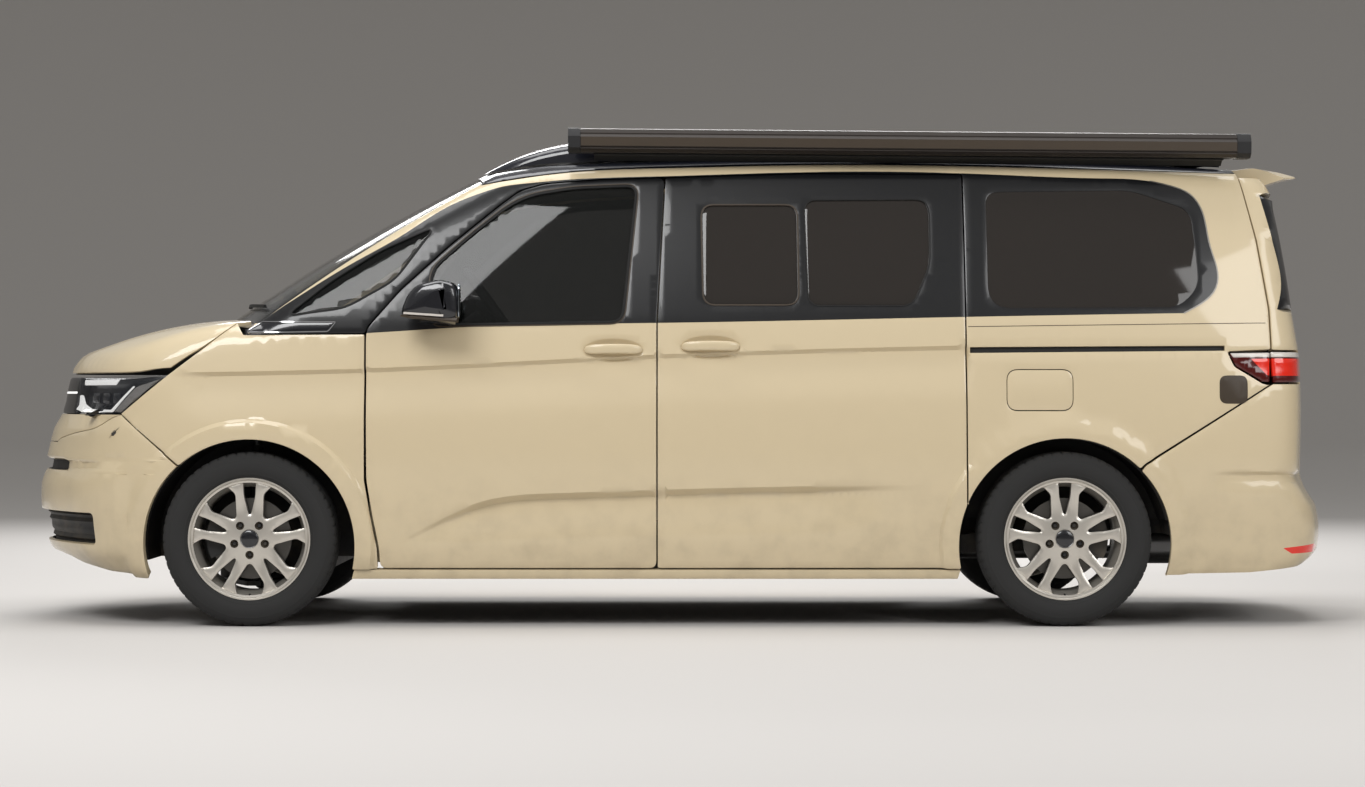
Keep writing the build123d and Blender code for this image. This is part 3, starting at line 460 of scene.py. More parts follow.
@dataclass
class Skin:
    """The body's outer form.

    A flank is a half width over x and z. The roof, nose and tail are outlines in side view
    that move by the square of y. The skin is where the least of their depths, with each
    meeting rounded, is zero, less a relief of creases and hollows.
    """

    stations: Points = (
        (-2.66, 0.550, 0.590, 0.530, 0.370), (-2.42, 0.762, 0.798, 0.732, 0.532),
        (-2.205, 0.860, 0.889, 0.842, 0.632), (-1.95, 0.918, 0.943, 0.892, 0.692),
        (-1.5, 0.935, 0.957, 0.917, 0.734), (-0.8, 0.938, 0.960, 0.930, 0.752),
        (0.2, 0.939, 0.961, 0.932, 0.762), (1.3, 0.937, 0.960, 0.929, 0.756),
        (2.0, 0.922, 0.951, 0.910, 0.734), (2.35, 0.885, 0.921, 0.864, 0.692),
        (2.66, 0.772, 0.806, 0.752, 0.602),
    )
    turn_under_z: float = 0.345
    widest_z: float = 0.690
    belt_z: float = 1.175
    rail_z: float = 1.742
    top: Outline = Outline(
        0,
        (
            Edge((-2.490, 0.945), None, 0.430, 0.0), Edge((-2.400, 1.055), (-2.458, 1.012), 0.400, 0.020),
            Edge((-1.800, 1.188), (-2.120, 1.148), 0.257, 0.025),
            Edge((-0.800, 1.765), (-1.312, 1.496), 0.200, 0.040),
            Edge((-0.450, 1.812), (-0.640, 1.796), 0.150, 0.060),
            Edge((2.180, 1.795), (0.900, 1.835), 0.0, 0.075),
            Edge((2.385, 1.715), (2.312, 1.766), -0.130, 0.060),
        ),
        3.0, -5.0,
    )
    nose: Outline = Outline(
        1,
        (
            Edge((-2.360, 0.190), None, 0.430, 0.0), Edge((-2.548, 0.290), (-2.478, 0.224), 0.470, 0.0),
            Edge((-2.572, 0.690), (-2.5865, 0.480), 0.470, 0.0),
            Edge((-2.520, 0.800), (-2.558, 0.758), 0.450, 0.0),
            Edge((-2.490, 0.945), None, 0.430, 0.0),
        ),
        0.0, 0.2,
    )
    tail: Outline = Outline(
        1,
        (
            Edge((2.500, 0.205), None, -0.190, 0.0), Edge((2.576, 0.270), None, -0.190, 0.0),
            Edge((2.566, 0.470), (2.585, 0.370), -0.185, 0.0),
            Edge((2.503, 0.585), (2.526, 0.520), -0.160, 0.0),
            Edge((2.512, 1.060), None, -0.150, 0.0), Edge((2.488, 1.215), None, -0.150, 0.0),
            Edge((2.385, 1.715), (2.454, 1.470), -0.130, 0.0),
        ),
        1.0, -0.15,
    )
    roof_round: float = 0.085
    nose_round: float = 0.11
    tail_round: float = 0.07

    def __post_init__(self) -> None:
        """Prepares the four half widths as curves over x."""
        columns = np.array(self.stations).T
        self.low, self.wide, self.belt, self.rail = (Spline(columns[0], column) for column in columns[1:])

    def half_width(self, x: Array, z: Array) -> Array:
        """The flank's half width: three arcs over z, from turn-under to roof rail."""
        low, wide, belt, rail = self.low(x), self.wide(x), self.belt(x), self.rail(x)
        cant = (belt + rail) / 2 + 0.014
        below = arc_value(z, (0.150, low - 0.044), (0.250, low - 0.015), (self.turn_under_z, low))
        middle = arc_value(z, (self.turn_under_z, low), (self.widest_z, wide), (self.belt_z, belt))
        above = arc_value(
            z, (self.belt_z, belt), ((self.belt_z + self.rail_z) / 2, cant), (self.rail_z, rail)
        )
        past = rail - 0.55 * (z - self.rail_z)
        width = np.where(z < self.turn_under_z, below, np.where(z < self.belt_z, middle, above))
        return np.where(z > self.rail_z, past, width)

    def depth(self, p: Array) -> Array:
        """How far points lie inside the skin, before relief; roughly metres."""
        x, y, z = p.T
        share = y * y
        step = 0.002
        width = self.half_width(x, z)
        steep = (self.half_width(x, z + step) - width) / step
        flank = (width - np.abs(y)) / np.sqrt(1 + steep**2)
        height = self.top.height(x, share)
        slope = (self.top.height(x + step, share) - height) / step
        lean = 2 * y * 0.06
        roof = (height - z) / np.sqrt(1 + slope**2 + lean**2)
        nose = (x - self.nose.height(z, share)) / np.sqrt(1 + (0.9 * y) ** 2)
        tail = (self.tail.height(z, share) - x) / np.sqrt(1 + (0.32 * y) ** 2)
        ends = smooth_least(smooth_least(flank, nose, self.nose_round), tail, self.tail_round)
        return smooth_least(ends, roof, self.roof_round)

    def hit(self, origin: Array, direction: Array, reach: float = 1.4) -> Array:
        """Where rays from inside leave the skin.

        Args:
            origin: starts of the rays, inside the body.
            direction: their unit directions.
            reach: a length by which every ray is outside.

        Returns:
            The points where the depth is zero, found by halving and then by secants.
        """
        near, far = np.zeros(len(origin)), np.full(len(origin), reach)
        for _ in range(7):
            middle = (near + far) / 2
            inside = self.depth(origin + middle[:, None] * direction) > 0
            near, far = np.where(inside, middle, near), np.where(inside, far, middle)
        depth_near = self.depth(origin + near[:, None] * direction)
        depth_far = self.depth(origin + far[:, None] * direction)
        for _ in range(5):
            gap = np.where(np.abs(depth_near - depth_far) < 1e-12, 1e-12, depth_near - depth_far)
            middle = near + (far - near) * np.clip(depth_near / gap, 0.02, 0.98)
            depth = self.depth(origin + middle[:, None] * direction)
            inside = depth > 0
            near, depth_near = np.where(inside, middle, near), np.where(inside, depth, depth_near)
            far, depth_far = np.where(inside, far, middle), np.where(inside, depth_far, depth)
        gap = np.where(np.abs(depth_near - depth_far) < 1e-12, 1e-12, depth_near - depth_far)
        return origin + (near + (far - near) * depth_near / gap)[:, None] * direction

    def outwards(self, p: Array) -> Array:
        """Unit normals of the skin, from differences of the depth."""
        step = 0.003
        moves = np.eye(3) * step
        slope = np.stack([self.depth(p - move) - self.depth(p + move) for move in moves], axis=1)
        return slope / np.linalg.norm(slope, axis=1, keepdims=True)


SKIN = Skin()


class View:
    """A way to lay the skin out flat, so that a panel can be drawn and then raised onto it."""

    def ray(self, flat: Array) -> tuple[Array, Array]:
        """The start and direction of the ray through each flat point."""
        raise NotImplementedError

    def flatten(self, p: Array) -> Array:
        """The flat places of points on the skin."""
        raise NotImplementedError

    def raise_up(self, flat: Array) -> Array:
        """The skin's points over flat places."""
        return SKIN.hit(*self.ray(np.asarray(flat, float)))

    def outwards(self, p: Array) -> Array:
        """The normals of the surface that flat places are raised onto."""
        return SKIN.outwards(p)


@dataclass(frozen=True)
class SideView(View):
    """The view square onto a flank, with flat places as (x, z)."""

    side: Side = Side.LEFT

    def ray(self, flat: Array) -> tuple[Array, Array]:
        """Rays straight out to the side."""
        zeros = np.zeros(len(flat))
        origin = np.stack([flat[:, 0], zeros, flat[:, 1]], axis=1)
        return origin, np.tile((0.0, float(self.side.value), 0.0), (len(flat), 1))

    def flatten(self, p: Array) -> Array:
        """Drops y."""
        return p[:, [0, 2]]


@dataclass(frozen=True)
class TopView(View):
    """The view from above, with flat places as (x, y)."""

    def ray(self, flat: Array) -> tuple[Array, Array]:
        """Rays straight up."""
        origin = np.stack([flat[:, 0], flat[:, 1], np.full(len(flat), 0.7)], axis=1)
        return origin, np.tile((0.0, 0.0, 1.0), (len(flat), 1))

    def flatten(self, p: Array) -> Array:
        """Drops z."""
        return p[:, :2]


@dataclass(frozen=True)
class EndView(View):
    """The view round the nose or the tail, with flat places as (arc length, z).

    Attributes:
        pole: x of the upright axis that the rays leave.
        facing: -1 for the nose and 1 for the tail.
        radius: turns an angle about the axis into a length.
    """

    pole: float
    facing: int
    radius: float = 0.8

    def ray(self, flat: Array) -> tuple[Array, Array]:
        """Level rays that fan out from the axis."""
        angle = flat[:, 0] / self.radius
        zeros = np.zeros(len(flat))
        origin = np.stack([np.full(len(flat), self.pole), zeros, flat[:, 1]], axis=1)
        return origin, np.stack([self.facing * np.cos(angle), np.sin(angle), zeros], axis=1)

    def flatten(self, p: Array) -> Array:
        """The angle about the axis as a length, and z."""
        angle = np.arctan2(p[:, 1], self.facing * (p[:, 0] - self.pole))
        return np.stack([angle * self.radius, p[:, 2]], axis=1)


NOSE_VIEW = EndView(-1.80, -1)
TAIL_VIEW = EndView(1.80, 1)


def curve(points: Points, step: float = 0.02) -> Array:
    """A smooth open curve through points, evenly divided: splines over the chord length."""
    at = np.array(points, float)
    chord = np.concatenate([[0], np.cumsum(np.linalg.norm(np.diff(at, axis=0), axis=1))])
    fine = np.linspace(0, chord[-1], max(int(chord[-1] / step), 2) + 1)
    return np.stack([Spline(chord, column)(fine) for column in at.T], axis=1)


def straight(points: Points, step: float = 0.02) -> Array:
    """An open run of straight lines through points, divided no wider than step."""
    at = np.array(points, float)
    chord = np.concatenate([[0], np.cumsum(np.linalg.norm(np.diff(at, axis=0), axis=1))])
    fine = np.unique(np.concatenate([np.linspace(0, chord[-1], int(chord[-1] / step) + 2), chord]))
    return np.stack([np.interp(fine, chord, column) for column in at.T], axis=1)


def rounded(points: Points, radius: float, step: float = 0.02, closed: bool = True) -> Array:
    """A loop of straight lines whose corners are eased by parabolas a radius long."""
    at = np.array(points, float)
    out = []
    count = len(at)
    for index in range(count):
        here, last, after = at[index], at[index - 1], at[(index + 1) % count]
        if not closed and index in (0, count - 1):
            out.append(here[None])
            continue
        reach_in, reach_out = (min(radius, np.linalg.norm(other - here) * 0.45) for other in (last, after))
        start = here + (last - here) / np.linalg.norm(last - here) * reach_in
        end = here + (after - here) / np.linalg.norm(after - here) * reach_out
        t = np.linspace(0, 1, 7)[:, None]
        out.append((1 - t) ** 2 * start + 2 * t * (1 - t) * here + t**2 * end)
    loop = np.concatenate(out)
    if closed:
        loop = np.concatenate([loop, loop[:1]])
    return straight(loop, step)[: -1 if closed else None]


def inset(loop: Array, amount: float) -> Array:
    """A closed loop moved inwards by amount at every point, along the mean of its edges' normals."""
    area = np.sum(loop[:, 0] * np.roll(loop[:, 1], -1) - np.roll(loop[:, 0], -1) * loop[:, 1])
    before, after = loop - np.roll(loop, 1, axis=0), np.roll(loop, -1, axis=0) - loop
    normals = []
    for edge in (before, after):
        length = np.maximum(np.linalg.norm(edge, axis=1, keepdims=True), 1e-9)
        normals.append(np.stack([-edge[:, 1], edge[:, 0]], axis=1) / length)
    mean = normals[0] + normals[1]
    size = np.maximum((mean * mean).sum(axis=1, keepdims=True) / 2, 0.35)
    return loop + np.sign(area) * amount * mean / size


def enclosed(flat: Array, loop: Array) -> Array:
    """Which flat points lie in a closed loop: it crosses their level an odd number of times to the right."""
    x, y = flat[:, 0][:, None], flat[:, 1][:, None]
    x0, y0 = loop[:, 0], loop[:, 1]
    x1, y1 = np.roll(x0, -1), np.roll(y0, -1)
    crosses = (y0 > y) != (y1 > y)
    rise = np.where(y1 == y0, 1e-12, y1 - y0)
    right = x < (x1 - x0) * (y - y0) / rise + x0
    return (np.sum(crosses & right, axis=1) % 2).astype(bool)


def distance(flat: Array, line: Array, closed: bool = True) -> Array:
    """The least distance from flat points to a run of straight lines."""
    ends = np.roll(line, -1, axis=0) if closed else line[1:]
    starts = line if closed else line[:-1]
    along = ends - starts
    square = np.maximum((along**2).sum(axis=1), 1e-12)
    least = np.full(len(flat), np.inf)
    for part in range(0, len(flat), 4000):
        rows = slice(part, part + 4000)
        offset = flat[rows, None] - starts[None]
        t = np.clip((offset * along).sum(axis=2) / square, 0, 1)
        gap = offset - t[..., None] * along
        least[rows] = np.sqrt((gap**2).sum(axis=2).min(axis=1))
    return least


# Panels: flat outlines raised onto the skin

Relief = Callable[[Array], Array]


@dataclass
class Zone:
    """A part of a panel's outer face with a finish of its own.

    Attributes:
        loop: closed outline in the panel's view.
        finish: the finish inside it.
    """

    loop: Array
    finish: Finish


def plain(p: Array) -> Array:
    """No relief."""
    return np.zeros(len(p))


def hemmed(edge: Array, amount: float, hem: float = 0.009, width: float = 0.024) -> Array:
    """A thin folded hem near the outline and the full thickness further in."""
    return hem + (amount - hem) * ramp(edge, width, width + 0.02)


@dataclass
class Panel:
    """A closed sheet of the skin inside an outline.

    The outline, its holes and a fine grid are joined into triangles in a flat view. Every flat
    point is raised onto the skin along its ray and pressed in by the relief, which gives the
    outer face. The inner face is the outer one less the thickness along the skin's normals, and
    a rim joins the two round each edge.

    Attributes:
        name: the piece's name.
        view: how the panel is laid flat.
        outline: closed outline.
        holes: closed outlines of openings.
        finish: finish of the outer face.
        inner: finish of the inner face.
        zones: parts of the outer face with other finishes.
        lines: open runs that the grid follows closely, with the spacings across them.
        thickness: distance between the faces.
        hem: whether the edges are thin, as on a door.
        sunk: how far the outer face lies under the skin.
        spacing: grid spacing.
        relief: depth pressed in, over points on the skin.
    """

    name: str
    view: View
    outline: Array
    finish: Finish
    # By default the inner face takes a dark grey that is painted shade
    inner: Finish = INSIDE_SHADE
    holes: Sequence[Array] = ()
    zones: Sequence[Zone] = ()
    lines: Sequence[Array] = ()
    thickness: float = 0.03
    hem: bool = False
    sunk: float = 0.0
    spacing: float = 0.028
    relief: Relief = plain
    edge_round: float = 0.0016

    def flat_points(self) -> tuple[Array, list[tuple[int, int]]]:
        """The flat points and the edges that the triangles keep.

        Returns:
            The points, outlines first, and the pairs of points joined by kept edges.
        """
        groups: list[Array] = []
        edges: list[tuple[int, int]] = []

        def take(line: Array, closed: bool) -> None:
            """Adds a run of points and the edges along it."""
            start = sum(len(group) for group in groups)
            groups.append(line)
            count = len(line)
            edges.extend(
                (start + i, start + (i + 1) % count) for i in range(count if closed else count - 1)
            )

        loops = [self.outline, *self.holes]
        for loop in loops:
            take(loop, True)
        ease = 3 * self.edge_round
        for loop, into in zip(loops, [1] + [-1] * len(self.holes)):
            take(inset(loop, into * ease), True)
        for zone in self.zones:
            take(zone.loop, True)
        for line in self.lines:
            take(line, False)
        low, high = self.outline.min(axis=0), self.outline.max(axis=0)
        counts = np.maximum(((high - low) / self.spacing).astype(int), 2)
        grid = np.stack(
            np.meshgrid(*(np.linspace(low[i], high[i], counts[i]) for i in (0, 1)), indexing="ij"), axis=-1
        ).reshape(-1, 2)
        grid = grid[enclosed(grid, self.outline)]
        fixed = np.concatenate(groups)
        cell = np.round(np.concatenate([fixed, grid]) / (self.spacing * 0.5)).astype(int)
        taken = set(map(tuple, cell[: len(fixed)].tolist()))
        keep = np.array([tuple(c) not in taken for c in cell[len(fixed) :].tolist()], bool)
        return np.concatenate([fixed, grid[keep]]), edges

    def triangles(self) -> tuple[Array, Array]:
        """Joins the flat points and keeps the triangles that lie on the panel."""
        points, edges = self.flat_points()
        verts, _, faces = delaunay_2d_cdt(
            [Vector(p) for p in points.tolist()], edges, [], 0, 1e-5, False
        )[:3]
        flat = np.array([tuple(v) for v in verts])
        tris = np.array([f for f in faces if len(f) == 3])
        centre = flat[tris].mean(axis=1)
        keep = enclosed(centre, self.outline)
        for hole in self.holes:
            keep &= ~enclosed(centre, hole)
        tris = tris[keep]
        used, tris = np.unique(tris, return_inverse=True)
        return flat[used], tris.reshape(-1, 3)

    def fit(self, body: str, slot: str, *nodes: str) -> bpy.types.Object:
        """Makes the piece, and lets it ride on a body."""
        return settle(self.build(), body, slot, *nodes)

    def build(self) -> bpy.types.Object:
        """Makes the piece at its place."""
        flat, tris = self.triangles()
        skin = self.view.raise_up(flat)
        normal = self.view.outwards(skin)
        edge = np.minimum.reduce([distance(flat, loop) for loop in (self.outline, *self.holes)])
        eased = self.edge_round * (1 - ramp(edge, 0, 3 * self.edge_round))
        outer = skin - normal * (self.sunk + eased + self.relief(skin))[:, None]
        wall = hemmed(edge, self.thickness) if self.hem else np.full(len(flat), self.thickness)
        inner = skin - normal * (self.sunk + wall + np.maximum(self.relief(skin), 0))[:, None]
        a, b, c = (outer[tris[:, i]] for i in range(3))
        facing = (np.cross(b - a, c - a) * normal[tris[:, 0]]).sum(axis=1)
        tris = np.where((facing < 0)[:, None], tris[:, ::-1], tris)
        count = len(flat)
        directed = np.concatenate([tris[:, [0, 1]], tris[:, [1, 2]], tris[:, [2, 0]]])
        keys = directed[:, 0].astype(np.int64) * count + directed[:, 1]
        back = directed[:, 1].astype(np.int64) * count + directed[:, 0]
        rim = directed[~np.isin(keys, back)]
        walls = np.stack([rim[:, 1], rim[:, 0], rim[:, 0] + count, rim[:, 1] + count], axis=1)
        centre = flat[tris].mean(axis=1)
        slots = [self.finish, self.inner]
        which = np.zeros(len(tris), int)
        for zone in self.zones:
            if zone.finish not in slots:
                slots.append(zone.finish)
            which[enclosed(centre, zone.loop)] = slots.index(zone.finish)
        faces = [*tris.tolist(), *(tris[:, ::-1] + count).tolist(), *walls.tolist()]
        rim_slot = np.zeros(len(walls), int)
        for zone in self.zones:
            rim_slot[enclosed(flat[rim].mean(axis=1), zone.loop)] = slots.index(zone.finish)
        indices = np.concatenate([which, np.ones(len(tris), int), rim_slot])
        return piece(self.name, np.concatenate([outer, inner]), faces, slots, indices)


def piece(
    name: str, verts: Array, faces: Sequence, finishes: Sequence[Finish], slots: Optional[Array] = None,
    sharp: float = 38.0,
) -> bpy.types.Object:
    """Puts arrays into a mesh object at the origin.

    Args:
        name: the piece's name.
        verts: the points.
        faces: index lists.
        finishes: its materials' finishes.
        slots: the material index of each face, or None for the first.
        sharp: edges that turn by more degrees than this are drawn sharp.

    Returns:
        The new object.
    """
    mesh = bpy.data.meshes.new(name)
    mesh.from_pydata(
        np.asarray(verts, float).tolist(), [], faces if isinstance(faces, list) else faces.tolist()
    )
    for finish in finishes:
        mesh.materials.append(finish.build())
    if slots is not None:
        mesh.polygons.foreach_set("material_index", np.asarray(slots, np.int32))
    mesh.polygons.foreach_set("use_smooth", np.ones(len(mesh.polygons), bool))
    mesh.update()
    mesh.set_sharp_from_angle(angle=math.radians(sharp))
    obj = bpy.data.objects.new(name, mesh)
    bpy.context.scene.collection.objects.link(obj)
    return obj


def pane(
    name: str, view: View, opening: Array, finish: Finish, overlap: float = 0.005, sunk: float = 0.003,
) -> Panel:
    """A pane of glass that overlaps its opening from behind.

    Args:
        name: the piece's name.
        view: how the pane is laid flat.
        opening: closed outline of the opening.
        finish: its glass.
        overlap: how far it reaches past the opening.
        sunk: how far its outer face lies under the skin.

    Returns:
        The panel, not yet made.
    """
    return Panel(name, view, inset(opening, -overlap), finish, finish, thickness=0.004, sunk=sunk)


def settle(obj: bpy.types.Object, body: str, slot: str, *nodes: str) -> bpy.types.Object:
    """Makes a piece ride on a body, and hides the nodes that it stands for."""
    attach(obj, body)
    if nodes:
        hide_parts(*nodes)
    return obj


def grid_faces(rows: int, columns: int, close_rows: bool = False, close_columns: bool = False) -> Array:
    """Quads of a grid of points numbered row by row, which may join up at its ends."""
    r = np.arange(rows if close_rows else rows - 1)
    c = np.arange(columns if close_columns else columns - 1)
    r, c = (axis.ravel() for axis in np.meshgrid(r, c, indexing="ij"))
    r1, c1 = (r + 1) % rows, (c + 1) % columns
    return np.stack([r * columns + c, r * columns + c1, r1 * columns + c1, r1 * columns + c], axis=1)


def bar_faces(rows: int, count: int, closed: bool = False, turned: bool = False) -> list:
    """Faces of rows of closed loops of count points, with a cap at each open end.

    Caps that are turned list their points the other way round, which splits them differently.
    """
    faces = grid_faces(rows, count, closed, True).tolist()
    if not closed:
        way = -1 if turned else 1
        faces += [list(range(count))[::-way], list(range((rows - 1) * count, rows * count))[::way]]
    return faces


def carried(
    profile: Array, path: Array, up: tuple[float, float, float], closed_path: bool = False
) -> tuple[Array, list]:
    """A closed profile carried along a path and capped at open ends.

    At each point of the path the profile's first coordinate runs along the path's tangent
    crossed with up, and its second along the cross of that with the tangent.

    Args:
        profile: closed loop as (across, upwards), or one loop for each point of the path.
        path: points of the path.
        up: a direction that is never along the path.
        closed_path: whether the path joins up.

    Returns:
        Points and faces.
    """
    if closed_path:
        tangent = np.roll(path, -1, axis=0) - np.roll(path, 1, axis=0)
    else:
        tangent = np.gradient(path, axis=0)
    tangent /= np.linalg.norm(tangent, axis=1, keepdims=True)
    across = np.cross(tangent, np.array(up, float))
    across /= np.linalg.norm(across, axis=1, keepdims=True)
    rise = np.cross(across, tangent)
    loops = np.broadcast_to(profile, (len(path), *profile.shape[-2:]))
    verts = path[:, None] + loops[..., :1] * across[:, None] + loops[..., 1:] * rise[:, None]
    count = loops.shape[1]
    return verts.reshape(-1, 3), bar_faces(len(path), count, closed_path)


def ring(profile: Array, centre: Sequence[float], side: int, steps: int = 96) -> tuple[Array, Array]:
    """A closed profile of (radius, offset outboard) turned about the wheel's axis."""
    turn = np.linspace(0, 2 * np.pi, steps, endpoint=False)
    radius, out = profile[:, 0], profile[:, 1]
    x = centre[0] + np.cos(turn)[:, None] * radius
    z = centre[2] + np.sin(turn)[:, None] * radius
    y = np.broadcast_to(centre[1] + side * out, x.shape)
    faces = grid_faces(steps, len(profile), True, True)
    return np.stack([x, y, z], axis=-1).reshape(-1, 3), faces[:, :: -side]


def solid(
    name: str, verts: Array, faces: Sequence, finish: Finish, sharp: float = 38.0
) -> bpy.types.Object:
    """Makes a closed piece of one finish, with its faces turned outwards."""
    obj = piece(name, verts, faces, [finish], sharp=sharp)
    mesh = obj.data
    bm = bmesh.new()
    bm.from_mesh(mesh)
    bmesh.ops.recalc_face_normals(bm, faces=bm.faces)
    bm.to_mesh(mesh)
    bm.free()
    return obj


@dataclass(frozen=True)
class RoundView(View):
    """The view round the length of the body, with flat places as (x, arc length over the top).

    Attributes:
        level: z of the lengthwise axis that the rays leave.
        radius: turns an angle about the axis into a length; 0 points left, rising to the top.
    """

    level: float = 1.15
    radius: float = 0.8

    def ray(self, flat: Array) -> tuple[Array, Array]:
        """Rays that fan out square to the axis."""
        angle = flat[:, 1] / self.radius
        zeros = np.zeros(len(flat))
        origin = np.stack([flat[:, 0], zeros, np.full(len(flat), self.level)], axis=1)
        return origin, np.stack([zeros, -np.cos(angle), np.sin(angle)], axis=1)

    def flatten(self, p: Array) -> Array:
        """x, and the angle about the axis as a length."""
        angle = np.arctan2(p[:, 2] - self.level, -p[:, 1])
        return np.stack([p[:, 0], angle * self.radius], axis=1)


ROUND_VIEW = RoundView()
LEFT_VIEW = SideView(Side.LEFT)

FRONT_AXLE_X, REAR_AXLE_X = -1.6365, 1.4875
ARCH_Z, ARCH_R = 0.312, 0.405
HALF_GAP = 0.003

# Outlines in side view, as in the frame's own seams
FRONT_DOOR = (
    (-1.192, 1.121), (-1.189, 0.560), (-1.166, 0.420), (-1.142, 0.300), (-1.139, 0.220), (-0.075, 0.220),
    (-0.075, 1.165), (-0.045, 1.731), (-0.300, 1.723), (-0.510, 1.706), (-0.607, 1.678), (-0.683, 1.621),
    (-0.872, 1.464), (-1.061, 1.289), (-1.181, 1.150),
)
DOOR_TOP = FRONT_DOOR[7:] + FRONT_DOOR[:1]
FRONT_GLASS = (
    (-0.944, 1.152), (-0.944, 1.370), (-0.797, 1.503), (-0.650, 1.622), (-0.560, 1.664), (-0.400, 1.690),
    (-0.150, 1.700), (-0.205, 1.164),
)
QUARTER_GLASS = (
    (-1.500, 1.190), (-1.271, 1.220), (-1.082, 1.328), (-0.930, 1.538), (-1.142, 1.444), (-1.331, 1.325)
)
FRONT_SLIDING_GLASS = ((0.098, 1.617), (0.462, 1.617), (0.465, 1.235), (0.105, 1.235))
REAR_SLIDING_GLASS = (
    (0.493, 1.637), (0.953, 1.640), (0.973, 1.600), (0.971, 1.387), (0.905, 1.231), (0.507, 1.231)
)
REAR_SIDE_GLASS = (
    (1.194, 1.672), (1.755, 1.680), (1.986, 1.602), (2.003, 1.406), (2.006, 1.300), (1.927, 1.223),
    (1.240, 1.219), (1.194, 1.265),
)
TAIL_SEAM = (
    (2.182, 1.752), (2.240, 1.485), (2.278, 1.213), (2.281, 1.059), (2.277, 0.932), (2.340, 0.700),
    (2.365, 0.588)
)
TAIL_LAMP = ((2.281, 1.054), (2.112, 1.051), (2.137, 0.997), (2.246, 0.932), (2.277, 0.932))
BAND_TOP = (
    (-1.610, 1.166), (-1.447, 1.271), (-1.257, 1.390), (-1.066, 1.499), (-0.876, 1.621), (-0.762, 1.668),
    (-0.684, 1.692), (-0.568, 1.708), (-0.452, 1.719), (-0.065, 1.735), (0.478, 1.751), (1.098, 1.747),
    (1.641, 1.727), (1.835, 1.716), (1.931, 1.692), (1.988, 1.665), (2.026, 1.614), (2.056, 1.464),
    (2.081, 1.327), (2.072, 1.297), (2.003, 1.231), (1.945, 1.200),
)
BAND_BOTTOM = (
    (-1.641, 1.112), (-1.192, 1.123), (-0.867, 1.143), (-0.083, 1.162), (1.103, 1.185), (1.945, 1.200)
)
RAIL_TOP = (
    (-0.760, 1.704), (-0.415, 1.754), (0.013, 1.773), (0.480, 1.784), (1.102, 1.780), (1.647, 1.766),
    (2.124, 1.752),
)
SCREEN_EDGE = ((-1.625, -0.862), (-1.450, -0.838), (-1.257, -0.806), (-0.950, -0.748), (-0.760, -0.706))
CHARACTER_LINE = ((-1.930, 0.970), (-1.191, 0.986), (-0.075, 1.039), (1.114, 1.074))
SCULPT_TOP = (
    (-1.103, 0.305), (-0.984, 0.368), (-0.865, 0.428), (-0.750, 0.474), (-0.674, 0.491), (-0.445, 0.508),
    (-0.075, 0.520), (0.500, 0.534), (0.986, 0.543),
)
SCULPT_FOOT = ((-1.103, 0.298), (-0.075, 0.321), (0.986, 0.349))
BUMPER_CREASE = ((2.020, 0.592), (2.560, 0.592))
HANDLE_CENTRES = ((-0.2425, 1.054), (0.1295, 1.066))
# Radii from the axle at which a wheel opening's raised band begins, is half way and ends
FLARE = (0.467, 0.475, 0.483)


def mirrored(loop: Array) -> Array:
    """A loop in an end or top view, on the other side."""
    return loop * (1, -1) if loop.shape[1] == 2 else loop * (1, -1, 1)


def arch(axle_x: float, start: float, end: float, radius: float = ARCH_R) -> Array:
    """Points round a wheel opening in side view, between two angles in degrees."""
    turn = np.radians(np.linspace(start, end, max(int(abs(end - start) / 3), 2)))
    return np.stack([axle_x + radius * np.cos(turn), ARCH_Z + radius * np.sin(turn)], axis=1)


def over(line: Points, x: Array) -> Array:
    """The height of a side-view line above each x."""
    at = np.array(line)
    return Spline(at[:, 0], at[:, 1])(x)


def flank_relief(p: Array) -> Array:
    """Depth of the flank's creases, hollows and raised wheel-arch bands.

    The character line and the door's hollow drop sharply below their line and run out lower
    down. Handle bowls are round dishes. The arch bands stand proud inside a radius. All fade
    where the skin turns away from the side.
    """
    x, y, z = p.T
    below = over(CHARACTER_LINE, x) - z
    line = 0.0175 * ramp(below, -0.001, 0.010) * (1 - ramp(below, 0.016, 0.210))
    depth = line * ramp(x, -1.95, -1.80) * (1 - ramp(x, 1.112, 1.122))
    top, foot = over(SCULPT_TOP, x), over(SCULPT_FOOT, x)
    height = np.maximum(top - foot, 0.004)
    fall = np.clip((top - z) / height, -1, 1.2)
    hollow = ramp(top - z, -0.003, 0.022) * (1 - ramp(fall, 0.10, 1.0))
    reach = ramp(x, -1.10, -0.70) * (1 - ramp(x, 0.45, 0.985))
    depth += 0.031 * hollow * reach
    for centre_x, centre_z in HANDLE_CENTRES:
        apart = ((x - centre_x) / 0.118) ** 2 + ((z - centre_z - 0.004) / 0.044) ** 2
        depth += 0.021 * np.clip(1.0 - apart, 0, 1) ** 0.8
    for axle_x in (FRONT_AXLE_X, REAR_AXLE_X):
        apart = np.hypot(x - axle_x, z - ARCH_Z)
        depth -= 0.014 * (1 - ramp(apart, FLARE[0], FLARE[2]))
    under = BUMPER_CREASE[0][1] - z
    depth += 0.014 * ramp(under, -0.001, 0.010) * (1 - ramp(under, 0.016, 0.075)) * ramp(x, 2.03, 2.16)
    return depth * ramp(np.abs(y), 0.45, 0.70)


